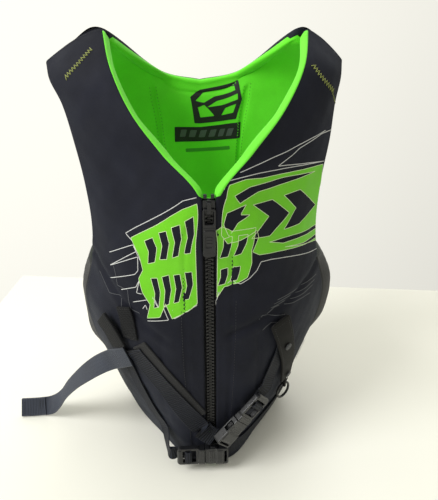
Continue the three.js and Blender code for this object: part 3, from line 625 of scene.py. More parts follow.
def tab(which, s, path, width, lift, thick, shape=lambda t: 1 + 0 * t, steps=60, across=18, bend=None, edge=1.1, ribs=0.0, pitch=2.4, corner=3.0):
    """A strip sewn on a panel, with rounded edges and corners and, if wanted, ribs."""
    t = np.linspace(0, 1, steps + 1)
    path = np.asarray(path, float)
    k = len(path) - 1
    uv = curve(path, t * k)
    a, b = curve(path, np.maximum(t * k - 0.05, 0)), curve(path, np.minimum(t * k + 0.05, k))
    tan = unit(raw(which, s, b[:, 0], b[:, 1])[:, :3] - raw(which, s, a[:, 0], a[:, 1])[:, :3])
    P, n, T, su, sv = surf(which, s, uv[:, 0], uv[:, 1])
    side = unit(np.cross(n, tan))
    L = np.concatenate([[0], np.cumsum(np.linalg.norm(np.diff(P, axis=0), axis=1))])
    x = np.linspace(-0.5, 0.5, across + 1)
    x = 0.5 * np.sin(x * np.pi) * 0.5 + x * 0.5
    W = width * shape(t)
    dist = x[None] * W[:, None]
    endd = np.minimum(L, L[-1] - L)
    inset = corner - np.sqrt(np.maximum(corner**2 - (corner - np.minimum(endd, corner)) ** 2, 0))
    dist = dist * np.maximum(1 - inset[:, None] / (W[:, None] / 2), 0.05)
    rep = lambda z: np.repeat(z, across + 1, 0)
    Q, m = walk(which, s, rep(uv[:, 0]), rep(uv[:, 1]), rep(side), dist.reshape(-1))
    fromside = (W[:, None] / 2 - inset[:, None] - np.abs(dist)).reshape(-1)
    fromend = np.repeat(endd, across + 1)
    near = np.minimum(fromside + 0.15, fromend + 0.15)
    drop = roll(near, edge)
    top = lift + thick - drop * 0.9
    if bend is not None:
        top = top + bend(np.repeat(t, across + 1), dist.reshape(-1))
    if ribs:
        top = top - ribs * (0.5 - 0.5 * np.cos(np.repeat(L, across + 1) * 2 * np.pi / pitch)) * smooth((fromside - 1.2) / 1.2)
    groove = np.exp(-(((fromside - 2.2) / 0.5) ** 2)) * smooth((fromend - 1.5) / 1.0)
    top = top - 0.22 * groove
    bot = np.full_like(top, lift) + (bend(np.repeat(t, across + 1), dist.reshape(-1)) if bend is not None else 0)
    sh = (steps + 1, across + 1, 3)
    outer = (Q + m * top[:, None]).reshape(sh)
    inner = (Q + m * bot[:, None]).reshape(sh)
    return slab(outer, inner), outer


def inside(poly, p):
    x, y = p
    c = False
    j = len(poly) - 1
    for i in range(len(poly)):
        xi, yi = poly[i]; xj, yj = poly[j]
        if (yi > y) != (yj > y) and x < (xj - xi) * (y - yi) / (yj - yi) + xi:
            c = not c
        j = i
    return c


def round_loop(poly, r=0.28, k=3):
    """Corners of a polygon cut round, in scaled panel units."""
    out = []
    n = len(poly)
    for i in range(n):
        a, b, c = np.array(poly[i - 1]), np.array(poly[i]), np.array(poly[(i + 1) % n])
        d1, d2 = np.linalg.norm(a - b), np.linalg.norm(c - b)
        t = min(r, 0.3 * d1, 0.3 * d2)
        p, q = b + (a - b) / d1 * t, b + (c - b) / d2 * t
        for w in np.linspace(0, 1, k + 1):
            out.append((1 - w) ** 2 * p + 2 * w * (1 - w) * b + w * w * q)
    return np.array(out)


SU, SV = 118.0, 47.0       # rough mm per unit of u and v


def film(loops, which, s, h0, h1, step=1.7, point=None):
    """A printed shape: a thin closed film lying on the face. loops[0] is the outline, the rest are holes, in (u, v)."""
    point = point or (lambda u, v, h: on_face(which, s, u, v, h)[0])
    verts, edges, polys = [], [], []
    for lp in loops:
        P = np.array(lp, float) * [SU, SV]
        P = round_loop(P, 1.1)
        Q = []
        for a, b in zip(P, np.roll(P, -1, 0)):
            m = max(int(math.ceil(np.linalg.norm(b - a) / step)), 1)
            Q += [a + (b - a) * i / m for i in range(m)]
        n0 = len(verts)
        verts += Q
        edges += [(n0 + i, n0 + (i + 1) % len(Q)) for i in range(len(Q))]
        polys.append(Q)
    lo, hi = np.min(polys[0], 0), np.max(polys[0], 0)
    B = np.array(verts)
    for iy, y in enumerate(np.arange(lo[1], hi[1], 2.1)):
        for x in np.arange(lo[0] + (iy % 2) * 1.2, hi[0], 2.4):
            if ((B - [x, y]) ** 2).sum(1).min() > 0.8 and inside(polys[0], (x, y)):
                verts.append(np.array([x, y]))
    co, ed, fa, *_ = delaunay_2d_cdt([Vector(v) for v in verts], edges, [], 0, 1e-5)
    co = np.array([tuple(c) for c in co])
    tri = []
    for f in fa:
        c = co[list(f)].mean(0)
        if inside(polys[0], c) and not any(inside(h, c) for h in polys[1:]):
            a, b, d = co[f[0]], co[f[1]], co[f[2]]
            if abs((b[0] - a[0]) * (d[1] - a[1]) - (b[1] - a[1]) * (d[0] - a[0])) > 1e-4:
                tri.append(list(f))
    used = sorted({i for f in tri for i in f})
    idx = {o: k for k, o in enumerate(used)}
    co = co[used]
    tri = [[idx[i] for i in f] for f in tri]
    u, v = co[:, 0] / SU, co[:, 1] / SV
    top, bot = point(u, v, h1), point(u, v, h0)
    n = len(co)
    F = [f for f in tri] + [[i + n for i in reversed(f)] for f in tri]
    count = {}
    for f in tri:
        for a, b in zip(f, f[1:] + f[:1]):
            count[(a, b)] = 1
    for (a, b) in list(count):
        if (b, a) not in count:
            F.append([b, a, a + n, b + n])
    uv = np.stack([co[:, 0], co[:, 1]], 1) / 10
    return np.concatenate([top, bot]), F, np.concatenate([uv, uv])


def hairline(which, s, path, width, h0, h1, closed=False, spline=False, step=1.4, point=None):
    """A thin printed line on the face."""
    path = list(path) + ([path[0]] if closed else [])
    point = point or (lambda u, v, h: on_face(which, s, u, v, h)[0])
    uv = uv_path(which, s, path, step, spline)
    top, bot = point(uv[:, 0], uv[:, 1], h1), point(uv[:, 0], uv[:, 1], h0)
    t = unit(np.gradient(top, axis=0))
    n = unit(top - bot)
    side = unit(np.cross(n, t))
    taper = np.ones(len(top))
    if not closed:
        taper[0] = taper[-1] = 0.35
    w = side * (width / 2 * taper)[:, None]
    g0 = np.stack([top - w, top + w], 1)
    g1 = np.stack([bot - w, bot + w], 1)
    return slab(g0, g1)

# ------------------------------------------------------------------ printed design, in panel coordinates (u, v)
SHAPES = {
    'slab_r': (-1, [(0.506, 6.05), (0.331, 6.39), (0.238, 6.60), (0.162, 6.74), (0.050, 6.88), (0.044, 4.74), (0.106, 4.57), (0.219, 4.37), (0.262, 4.71), (0.300, 4.37), (0.381, 4.30), (0.362, 4.64), (0.412, 4.88), (0.444, 5.19), (0.412, 5.40), (0.438, 5.71)], [
        [(0.400, 6.05), (0.344, 6.15), (0.312, 5.95), (0.325, 5.64), (0.375, 5.57), (0.369, 5.84)],
        [(0.306, 6.26), (0.256, 6.32), (0.225, 6.08), (0.244, 5.74), (0.294, 5.71), (0.275, 6.02)],
        [(0.225, 6.39), (0.169, 6.46), (0.144, 6.19), (0.162, 5.84), (0.206, 5.78), (0.188, 6.12)],
        [(0.138, 6.53), (0.081, 6.63), (0.062, 6.29), (0.081, 5.91), (0.125, 5.88), (0.106, 6.22)],
        [(0.356, 5.26), (0.312, 5.29), (0.294, 4.98), (0.306, 4.61), (0.338, 4.57), (0.331, 4.92)],
        [(0.281, 5.33), (0.231, 5.40), (0.219, 5.05), (0.238, 4.71), (0.275, 4.64), (0.262, 5.02)],
        [(0.200, 5.40), (0.156, 5.43), (0.144, 5.12), (0.169, 4.78), (0.206, 4.74), (0.188, 5.09)],
        [(0.125, 5.47), (0.075, 5.50), (0.069, 5.19), (0.100, 4.85), (0.138, 4.81), (0.112, 5.16)],
    ]),
    'slab_l': (1, [(0.012, 6.36), (0.056, 6.43), (0.119, 6.32), (0.294, 6.32), (0.250, 5.88), (0.250, 5.60), (0.219, 5.29), (0.150, 5.19), (0.056, 5.12), (0.006, 4.88)], [
        [(0.056, 6.19), (0.119, 6.22), (0.106, 6.02), (0.081, 5.81), (0.025, 5.78), (0.050, 6.02)],
        [(0.162, 6.22), (0.231, 6.22), (0.212, 6.05), (0.175, 5.84), (0.119, 5.81), (0.150, 6.02)],
        [(0.031, 5.53), (0.081, 5.57), (0.081, 5.40), (0.062, 5.19), (0.012, 5.16), (0.031, 5.36)],
        [(0.119, 5.57), (0.169, 5.57), (0.162, 5.43), (0.144, 5.26), (0.094, 5.22), (0.112, 5.40)],
    ]),
    'shard_l': (1, [(0.062, 7.25), (0.181, 7.32), (0.325, 7.29), (0.556, 7.32), (0.956, 7.39), (1.000, 6.70), (1.000, 6.19), (1.000, 5.50), (0.812, 5.60), (0.519, 5.67), (0.306, 5.74), (0.256, 5.84), (0.306, 6.12), (0.300, 6.26), (0.169, 6.12), (0.081, 6.08), (0.044, 6.26), (0.069, 6.70), (0.088, 6.98)], [
        [(0.150, 6.98), (0.256, 7.12), (0.525, 7.22), (0.856, 7.25), (0.556, 7.08), (0.331, 6.98), (0.200, 6.81)],
        [(0.100, 6.67), (0.250, 6.77), (0.200, 6.60), (0.269, 6.57), (0.175, 6.46), (0.094, 6.22), (0.069, 6.46)],
        [(0.300, 6.74), (0.444, 6.77), (0.588, 6.43), (0.394, 6.08), (0.250, 6.12), (0.406, 6.46)],
        [(0.544, 6.81), (0.700, 6.88), (0.938, 6.43), (0.688, 6.15), (0.519, 6.12), (0.662, 6.50)],
        [(0.388, 5.95), (0.575, 5.95), (1.000, 5.91), (1.000, 5.81), (0.706, 5.84), (0.500, 5.84)],
        [(0.519, 5.74), (0.738, 5.67), (0.994, 5.67), (1.000, 5.57), (0.819, 5.60), (0.662, 5.67)],
    ]),
}
LINES = {
    'l1': (1, [(0.069, 7.53), (0.269, 7.77), (0.525, 8.01), (0.856, 8.25)]),
    'l2': (1, [(1.000, 8.25), (0.800, 8.18), (0.544, 7.91), (0.406, 7.53), (0.631, 7.49), (0.931, 7.46)]),
    'l3': (1, [(0.000, 7.32), (0.038, 7.15), (0.019, 7.36), (0.275, 7.43), (0.962, 7.46)]),
    'l4': (1, [(1.000, 5.26), (0.806, 5.36), (0.388, 5.57), (0.319, 5.57), (0.288, 5.40), (0.238, 5.26), (0.169, 5.16), (0.100, 5.26), (0.025, 5.05), (0.000, 4.78), (0.000, 4.68)]),
    'l5': (1, [(1.000, 8.25), (1.000, 7.73), (0.994, 7.46)]),
    'r1': (-1, [(0.038, 7.01), (0.150, 6.91), (0.344, 6.53), (0.556, 6.12), (0.488, 5.98), (0.462, 5.78), (0.431, 5.60)]),
    'r2': (-1, [(0.725, 5.60), (0.488, 5.91), (0.462, 5.78), (0.719, 5.29), (0.450, 5.67), (0.450, 5.36), (0.475, 5.26), (0.712, 4.98)]),
    'r3': (-1, [(0.588, 4.81), (0.462, 4.98), (0.438, 5.16), (0.456, 4.85), (0.419, 4.85)]),
    'r4': (-1, [(0.481, 4.61), (0.381, 4.74), (0.356, 4.95), (0.300, 4.54)]),
    'r5': (-1, [(0.412, 4.50), (0.394, 4.61), (0.381, 4.50)]),
    'r6': (-1, [(0.381, 4.23), (0.244, 4.33), (0.281, 4.64), (0.219, 4.64), (0.206, 4.37), (0.044, 4.71)]),
    'r7': (-1, [(0.369, 4.98), (0.331, 4.71), (0.294, 4.50)]),
}
GREY = {
    'g1': (-1, [(0.694, 5.40), (0.625, 4.88), (0.531, 4.85), (0.500, 4.40), (0.431, 4.37)]),
    'g2': (-1, [(0.850, 5.02), (0.694, 4.61), (0.594, 4.64), (0.550, 4.16)]),
    'g3': (1, [(0.356, 4.30), (0.412, 4.43), (0.562, 4.33), (0.769, 4.26)]),
    'g4': (1, [(0.381, 4.43), (0.475, 4.47), (0.644, 4.40), (0.825, 4.40)]),
    'g5': (1, [(0.406, 4.50), (0.500, 4.54), (0.688, 4.50), (0.869, 4.50)]),
    'g6': (1, [(0.431, 4.57), (0.544, 4.61), (0.719, 4.61), (0.906, 4.61)]),
    'g7': (1, [(0.306, 4.16), (0.325, 4.30), (0.494, 4.12)]),
    'g8': (1, [(0.325, 3.92), (0.381, 4.06), (0.519, 3.92)]),
}

# ------------------------------------------------------------------ materials
def ramp(nt, a, b, pa=0.3, pb=0.7):
    r = nt.nodes.new("ShaderNodeValToRGB")
    r.color_ramp.elements[0].position, r.color_ramp.elements[1].position = pa, pb
    r.color_ramp.elements[0].color, r.color_ramp.elements[1].color = (*a, 1), (*b, 1)
    return r


def noise(nt, vec, scale, detail=3.0, rough=0.55):
    n = nt.nodes.new("ShaderNodeTexNoise")
    n.inputs["Scale"].default_value = scale
    n.inputs["Detail"].default_value = detail
    n.inputs["Roughness"].default_value = rough
    nt.links.new(vec, n.inputs["Vector"])
    return n


def wave(nt, vec, scale, direction="X", profile="SIN", dist=0.0, dscale=1.0, kind="BANDS"):
    w = nt.nodes.new("ShaderNodeTexWave")
    w.wave_type, w.wave_profile = kind, profile
    w.bands_direction = direction
    w.inputs["Scale"].default_value = scale
    w.inputs["Distortion"].default_value = dist
    w.inputs["Detail Scale"].default_value = dscale
    nt.links.new(vec, w.inputs["Vector"])
    return w


def maths(nt, op, a, b):
    m = nt.nodes.new("ShaderNodeMath")
    m.operation = op
    for i, x in enumerate((a, b)):
        if isinstance(x, (int, float)):
            m.inputs[i].default_value = x
        else:
            nt.links.new(x, m.inputs[i])
    return m.outputs[0]


def bump(nt, height, strength, distance, normal=None):
    b = nt.nodes.new("ShaderNodeBump")
    b.inputs["Strength"].default_value = strength
    b.inputs["Distance"].default_value = distance
    nt.links.new(height, b.inputs["Height"])
    if normal is not None:
        nt.links.new(normal, b.inputs["Normal"])
    return b.outputs[0]


def shader(name, rough=0.8, spec=0.5, sheen=0.0, sheen_rough=0.5, coat=0.0, coat_rough=0.2, sheen_tint=(1, 1, 1)):
    m = bpy.data.materials.new(name)
    m.use_nodes = True
    nt = m.node_tree
    p = nt.nodes["Principled BSDF"]
    p.inputs["Roughness"].default_value = rough
    p.inputs["Specular IOR Level"].default_value = spec
    p.inputs["Sheen Weight"].default_value = sheen
    p.inputs["Sheen Roughness"].default_value = sheen_rough
    p.inputs["Sheen Tint"].default_value = (*sheen_tint, 1)
    p.inputs["Coat Weight"].default_value = coat
    p.inputs["Coat Roughness"].default_value = coat_rough
    tc = nt.nodes.new("ShaderNodeTexCoord")
    return m, nt, p, tc


def tone(nt, p, vec, c, spread=0.16, scale=22.0, fleck=0.0, fleck_scale=700.0, other=None):
    """Base colour with slow unevenness and, if wanted, fine flecks."""
    lo = tuple(x * (1 - spread) for x in c)
    hi = tuple(min(x * (1 + spread), 1) for x in (other or c))
    n = noise(nt, vec, scale, 4.0)
    r = ramp(nt, lo, hi)
    nt.links.new(n.outputs["Fac"], r.inputs["Fac"])
    out = r.outputs["Color"]
    if fleck:
        f = noise(nt, vec, fleck_scale, 2.0)
        mx = nt.nodes.new("ShaderNodeMix")
        mx.data_type, mx.blend_type = "RGBA", "MULTIPLY"
        mx.inputs["Factor"].default_value = fleck
        g = ramp(nt, (0.55, 0.55, 0.55), (1, 1, 1), 0.35, 0.6)
        nt.links.new(f.outputs["Fac"], g.inputs["Fac"])
        nt.links.new(out, mx.inputs["A"])
        nt.links.new(g.outputs["Color"], mx.inputs["B"])
        out = mx.outputs["Result"]
    nt.links.new(out, p.inputs["Base Color"])
    return out


def knit(name, c, rough=0.82, sheen=0.25, pitch=0.8, strength=0.35, depth=0.0002, spread=0.14, scale=18.0, fleck=0.25, tint=(1, 1, 1), spec=0.35, other=None):
    """Jersey-faced neoprene: rows of fine stitches in the cloth's own directions, slightly uneven colour and soft sheen."""
    m, nt, p, tc = shader(name, rough, spec, sheen, 0.45, sheen_tint=tint)
    uv, ob = tc.outputs["UV"], tc.outputs["Object"]
    tone(nt, p, ob, c, spread, scale, fleck, 900.0, other)
    k = 0.31416 / pitch
    a = wave(nt, uv, k, "X")
    b = wave(nt, uv, k * 0.8, "Y", dist=0.6, dscale=2.0)
    h = maths(nt, "MULTIPLY", a.outputs["Fac"], b.outputs["Fac"])
    f = noise(nt, ob, 420.0, 3.0)
    h2 = maths(nt, "ADD", h, maths(nt, "MULTIPLY", f.outputs["Fac"], 0.6))
    n1 = bump(nt, h2, strength, depth)
    s = noise(nt, ob, 55.0, 3.0)
    n2 = bump(nt, s.outputs["Fac"], 0.16, 0.0012, n1)
    nt.links.new(n2, p.inputs["Normal"])
    r = noise(nt, ob, 60.0)
    rr = nt.nodes.new("ShaderNodeMapRange")
    rr.inputs["To Min"].default_value, rr.inputs["To Max"].default_value = rough - 0.08, min(rough + 0.08, 1)
    nt.links.new(r.outputs["Fac"], rr.inputs["Value"])
    nt.links.new(rr.outputs["Result"], p.inputs["Roughness"])
    return m


def weave(name, c, rough=0.55, sheen=0.15, warp=0.55, weft=0.6, strength=0.6, depth=0.00025, spread=0.15, spec=0.45, dark=0.45):
    """Webbing: crossed yarns in the relief; the colour carries painted shade in the valleys between the yarns and a
    painted highlight on their crowns.
    """
    m, nt, p, tc = shader(name, rough, spec, sheen, 0.4)
    uv, ob = tc.outputs["UV"], tc.outputs["Object"]
    col = tone(nt, p, ob, c, spread, 35.0, 0.2, 600.0)
    a = wave(nt, uv, 0.31416 / warp, "X")
    b = wave(nt, uv, 0.31416 / weft, "Y")
    h = maths(nt, "MULTIPLY", maths(nt, "ADD", maths(nt, "MULTIPLY", a.outputs["Fac"], 0.4), 0.6), b.outputs["Fac"])
    # painted shade and highlight: in the weave's valleys the colour is multiplied down towards the first value, and on
    # the yarn crowns it is raised by 15 %
    g = ramp(nt, (dark, dark, dark), (1.15, 1.15, 1.15), 0.05, 0.6)
    nt.links.new(h, g.inputs["Fac"])
    mx = nt.nodes.new("ShaderNodeMix")
    mx.data_type, mx.blend_type = "RGBA", "MULTIPLY"
    mx.inputs["Factor"].default_value = 1.0
    nt.links.new(col, mx.inputs["A"])
    nt.links.new(g.outputs["Color"], mx.inputs["B"])
    nt.links.new(mx.outputs["Result"], p.inputs["Base Color"])
    f = noise(nt, ob, 700.0, 2.0)
    h2 = maths(nt, "ADD", h, maths(nt, "MULTIPLY", f.outputs["Fac"], 0.4))
    nt.links.new(bump(nt, h2, strength, depth), p.inputs["Normal"])
    return m


def plastic(name, c, rough=0.36, spec=0.5, coat=0.0, grain=500.0, depth=0.00006, spread=0.12, wear=0.06):
    """Moulded plastic: fine spark-eroded grain, faint scuffs that change colour and gloss."""
    m, nt, p, tc = shader(name, rough, spec, coat=coat)
    ob = tc.outputs["Object"]
    tone(nt, p, ob, c, spread, 60.0)
    g = noise(nt, ob, grain, 3.0)
    s = noise(nt, ob, 90.0, 5.0, 0.7)
    n1 = bump(nt, g.outputs["Fac"], 0.5, depth)
    nt.links.new(bump(nt, s.outputs["Fac"], 0.25, depth * 3, n1), p.inputs["Normal"])
    rr = nt.nodes.new("ShaderNodeMapRange")
    rr.inputs["From Min"].default_value, rr.inputs["From Max"].default_value = 0.35, 0.7
    rr.inputs["To Min"].default_value, rr.inputs["To Max"].default_value = max(rough - wear, 0.05), rough + wear * 1.6
    nt.links.new(s.outputs["Fac"], rr.inputs["Value"])
    nt.links.new(rr.outputs["Result"], p.inputs["Roughness"])
    return m


def ink(name, c, rough=0.5, spread=0.06, sheen=0.0):
    """Heat-pressed print: thin, slightly rubbery, with the knit showing faintly through."""
    m, nt, p, tc = shader(name, rough, 0.4, sheen)
    uv, ob = tc.outputs["UV"], tc.outputs["Object"]
    tone(nt, p, ob, c, spread, 30.0, 0.1, 900.0)
    a = wave(nt, uv, 3.7, "X")
    b = wave(nt, uv, 2.9, "Y", dist=0.6)
    h = maths(nt, "MULTIPLY", a.outputs["Fac"], b.outputs["Fac"])
    nt.links.new(bump(nt, h, 0.2, 0.00012), p.inputs["Normal"])
    return m


def mesh_cloth(name, c):
    """Open mesh laminated on the flanks: a honeycomb of small dimples, with painted shade in the dimples and a painted
    highlight on their rims.
    """
    m, nt, p, tc = shader(name, 0.75, 0.4, 0.2, 0.4)
    uv, ob = tc.outputs["UV"], tc.outputs["Object"]
    col = tone(nt, p, ob, c, 0.15, 30.0)
    vo = nt.nodes.new("ShaderNodeTexVoronoi")
    vo.inputs["Scale"].default_value = 6.5
    vo.inputs["Randomness"].default_value = 0.15
    nt.links.new(uv, vo.inputs["Vector"])
    # painted shade and highlight: following the dimple depth, the colour is multiplied down to 0.35 at the dimple
    # bottoms and up to 1.2 on the rims
    g = ramp(nt, (0.35, 0.35, 0.35), (1.2, 1.2, 1.2), 0.2, 0.55)
    nt.links.new(vo.outputs["Distance"], g.inputs["Fac"])
    mx = nt.nodes.new("ShaderNodeMix")
    mx.data_type, mx.blend_type = "RGBA", "MULTIPLY"
    mx.inputs["Factor"].default_value = 1.0
    nt.links.new(col, mx.inputs["A"])
    nt.links.new(g.outputs["Color"], mx.inputs["B"])
    nt.links.new(mx.outputs["Result"], p.inputs["Base Color"])
    nt.links.new(bump(nt, vo.outputs["Distance"], 0.7, 0.0004), p.inputs["Normal"])
    return m


# the weave() materials here (webbing, zip tape, patch, threads, label) carry painted shade in their weave valleys and a
# painted highlight on the crowns
M = {
    "bind": knit("binding_green", (0.155, 0.78, 0.035), 0.7, 0.2, 0.075, tint=(0.8, 1.0, 0.6), spread=0.08, fleck=0.12, strength=0.25),
    "neo": knit("neoprene_black", (0.0083, 0.0090, 0.0158), 0.72, 0.05, 0.085, tint=(0.7, 0.82, 1.0), other=(0.0100, 0.0112, 0.0200), spec=0.16),
    "lining": knit("lining_green", (0.125, 0.74, 0.018), 0.75, 0.25, 0.075, tint=(0.8, 1.0, 0.6), spread=0.08, fleck=0.12, strength=0.25),
    "side": mesh_cloth("side_mesh", (0.0085, 0.0088, 0.0100)),
    "foam": knit("foam_block", (0.72, 0.70, 0.62), 0.9, 0.0, 0.3, strength=0.1),
    "web": weave("webbing_black", (0.0125, 0.0150, 0.0240), 0.6, 0.05, 0.16, 0.26, spec=0.2, dark=0.08),
    "web2": weave("webbing_grey", (0.036, 0.044, 0.066), 0.5, 0.08, 0.16, 0.22, spec=0.4, dark=0.4),
    "tape": weave("zip_tape", (0.007, 0.007, 0.008), 0.8, 0.05, 0.08, 0.09, spec=0.2),
    "patch": weave("patch_dark", (0.0100, 0.0105, 0.0120), 0.7, 0.05, 0.2, 0.22, 0.8, 0.0003, spec=0.15, dark=0.35),
    "coated": knit("coated_black", (0.0075, 0.0072, 0.0070), 0.66, 0.03, 0.12, strength=0.2, spec=0.14, fleck=0.1),
    "zip": plastic("zip_plastic", (0.006, 0.006, 0.0065), 0.30, 0.4),
    "slider": plastic("slider_plastic", (0.009, 0.0095, 0.011), 0.34, 0.42),
    "buckle": plastic("buckle_plastic", (0.0085, 0.009, 0.0105), 0.30, 0.42, 0.1),
    "snap": plastic("snap_black", (0.030, 0.032, 0.038), 0.36, 0.5),
    "ring": plastic("ring_plastic", (0.006, 0.006, 0.0065), 0.24, 0.4, 0.1),
    "green": ink("print_green", (0.155, 0.60, 0.006)),
    "pale": ink("print_pale", (0.66, 0.80, 0.46)),
    "white": ink("print_white", (0.62, 0.63, 0.62)),
    "grey": ink("print_grey", (0.085, 0.09, 0.1)),
    "black": ink("print_black", (0.012, 0.012, 0.013), 0.6),
    "dim": ink("print_dim", (0.05, 0.30, 0.02), 0.7),
    "thread": weave("thread_lime", (0.62, 0.70, 0.16), 0.6, 0.1, 0.05, 0.05, 0.3),
    "thread_black": weave("thread_black", (0.03, 0.031, 0.034), 0.6, 0.1, 0.05, 0.05, 0.3),
    "thread_grey": weave("thread_grey", (0.055, 0.058, 0.066), 0.6, 0.1, 0.05, 0.05, 0.3),
    "thread_green": weave("thread_green", (0.04, 0.30, 0.01), 0.6, 0.1, 0.05, 0.05, 0.3),
    "label": weave("label_white", (0.78, 0.78, 0.77), 0.7, 0.1, 0.05, 0.05, 0.35, 0.0001, 0.05, dark=0.8),
}

# ------------------------------------------------------------------ panels
EDGE = [0, 0.35, 0.8, 1.4, 2.2, 3.2, 4.4, 6.0, 8.0, 10.5]


def spread(length, step, ends=(True, True)):
    """Parameters 0 to 1 with fine rows near the chosen ends."""
    a = np.array(EDGE) / length if ends[0] else np.array([0.0])
    b = 1 - np.array(EDGE)[::-1] / length if ends[1] else np.array([1.0])
    n = max(int((b[0] - a[-1]) * length / step), 2)
    return np.concatenate([a, np.linspace(a[-1], b[0], n + 1)[1:-1], b])


US = spread(125.0, 2.4)
# rows: from the hem to the shoulder, finer across the start of the neckline
VS = np.unique(np.concatenate([spread(520.0, 3.4) * 11, 6.9 + np.array([0, 0.03, 0.06, 0.09, 0.12, 0.15, 0.18, 0.22, 0.27, 0.33])]))
side_name = {-1: "right", 1: "left"}

for s in (-1, 1):
    uu, vv = np.meshgrid(US, VS)
    q = shell("F", s, uu.ravel(), vv.ravel())
    sh = (len(VS), len(US), 3)
    f0, f1 = face_off(q), split(q)
    pad = slab(put_at(q, f0).reshape(sh), put_at(q, f1).reshape(sh))
    o = finish_mesh(f"{side_name[s]}_front_pad", *pad[:2], uv=pad[2], angle=60, slot="neoprene_black", mat=M["neo"], nodes=(f"{side_name[s]}_front_cover", f"{side_name[s]}_front_foam"))
    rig.padded(o, fill=0.9)
    lin = slab(put_at(q, f1 + 0.25).reshape(sh), put_at(q, np.maximum(lining_in(q), f1 + 1.0)).reshape(sh))
    finish_mesh(f"{side_name[s]}_front_inside", *lin[:2], uv=lin[2], angle=60, slot="lining_green", mat=M["lining"], nodes=(f"{side_name[s]}_front_lining",))


def back_shell(ww, vv):
    """The back panel as one surface: w from -1 to 1 across."""
    out = None
    s = np.where(ww < 0, -1, 1)
    parts = {k: shell("B", k, np.abs(ww[s == k]), vv[s == k]) for k in (-1, 1)}
    keys = ("P", "n", "T", "d", "du0", "du1", "dv0", "dv1", "u", "v")
    return s, parts, keys


def back_at(fn, ww, vv):
    s, parts, keys = back_shell(ww, vv)
    out = np.zeros((len(ww), 3))
    for k in (-1, 1):
        if (s == k).any():
            out[s == k] = fn(parts[k])
    return out


WH = spread(150.0, 2.6, (False, True))
fine = HINGE + np.array([-4, -3, -2.2, -1.5, -0.9, -0.4, 0, 0.4, 0.9, 1.5, 2.2, 3, 4]) * 1.6 / 150
WH = np.unique(np.concatenate([WH[np.abs(WH - HINGE) > 6.8 / 150], fine]))
WS = np.concatenate([-WH[:0:-1], WH])
VSB = np.unique(np.concatenate([spread(510.0, 3.4) * 11]))
ww, vv = np.meshgrid(WS, VSB)
sh = (len(VSB), len(WS), 3)
pad = slab(back_at(lambda q: put_at(q, face_off(q)), ww.ravel(), vv.ravel()).reshape(sh), back_at(lambda q: put_at(q, split(q)), ww.ravel(), vv.ravel()).reshape(sh))
o = finish_mesh("back_pad", *pad[:2], uv=pad[2], angle=60, slot="neoprene_black", mat=M["neo"], nodes=("back_cover", "back_foam_centre", "back_foam_right", "back_foam_left"))
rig.padded(o, fill=0.9)
lin = slab(back_at(lambda q: put_at(q, split(q) + 0.25), ww.ravel(), vv.ravel()).reshape(sh),
           back_at(lambda q: put_at(q, np.maximum(lining_in(q), split(q) + 1.25)), ww.ravel(), vv.ravel()).reshape(sh))
finish_mesh("back_inside", *lin[:2], uv=lin[2], angle=60, slot="lining_green", mat=M["lining"], nodes=("back_lining",))


def on_lining(s, u, v, h):
    """Points h mm in front of the back lining, towards the wearer."""
    q = shell("B", s, np.clip(np.asarray(u, float), 0, 1), np.clip(np.asarray(v, float), 0, 11))
    return put_at(q, np.maximum(lining_in(q), split(q) + 1.25) + h)


# side panels
SVK = {1: [0, 0.4, 1, 1.8, 2.35, 2.45, 2.62, 2.8, 3.2, 4.3, 4.75, 5], -1: [0, 0.4, 1, 1.8, 2.1, 2.25, 2.4, 2.55, 2.8, 3.0, 3.4, 3.8, 4.2, 4.6, 5]}
BULGE = {1: [2, 2, 2.5, 3.5, 4, 6, 13, 16.5, 18, 17.5, 14, 9], -1: [2, 2, 2.5, 4, 4.5, 7, 11, 13.5, 12, 10, 7, 6.5, 8, 9, 6]}
for s in (-1, 1):
    vs = np.unique(np.concatenate([np.linspace(0, 5, 150), np.array([0.02, 0.05, 4.95, 4.98])]))
    ts = np.unique(np.concatenate([np.linspace(0, 1, 44), [0.008, 0.02, 0.04, 0.96, 0.98, 0.992]]))
    o1 = np.ones_like(vs)
    f, b = raw("F", s, o1, vs), raw("B", s, o1, vs)
    bulge = np.interp(vs, SVK[s], BULGE[s])
    bulge = np.convolve(np.pad(bulge, 3, mode="edge"), np.ones(7) / 7, "valid")
    y0, y1 = f[:, 1] + 0.35, b[:, 1] - 0.35
    t = ts[None]
    k = np.minimum(4 * t * (1 - t) * 1.3, 1)
    k = k * 0.55 + 0.45 * np.sin(np.pi * t)
    width = (y1 - y0)[:, None]
    dist = np.minimum(np.minimum(t, 1 - t) * width, np.minimum(f[:, 2] - f[0, 2], f[-1, 2] - f[:, 2])[:, None])
    ribs = 0.28 * (np.cos(2 * np.pi * t * width / 3.4)) * smooth((dist - 3) / 3)
    edge = roll(dist, 2.2)
    X = np.abs(f[:, 0])[:, None] + (np.abs(b[:, 0]) - np.abs(f[:, 0]))[:, None] * t + k * bulge[:, None]
    Y = y0[:, None] + width * t
    Z = f[:, 2][:, None] + (b[:, 2] - f[:, 2])[:, None] * t
    out = np.stack([s * (X - edge + ribs - 0.28), Y, Z], -1)
    inn = np.stack([s * (X - 5.9 + roll(dist, 1.5)), Y, Z], -1)
    sl = slab(out, inn)
    finish_mesh(f"{side_name[s]}_side", *sl[:2], uv=sl[2], angle=60, slot="side_stretch", mat=M["side"], nodes=(f"{side_name[s]}_side_panel",))

# ------------------------------------------------------------------ prints
def merge_print(name, parts, mat, slot="neoprene_black"):
    v, f, uv = join(parts)
    return finish_mesh(name, v, f, uv=uv, angle=40, slot=slot, mat=mat)


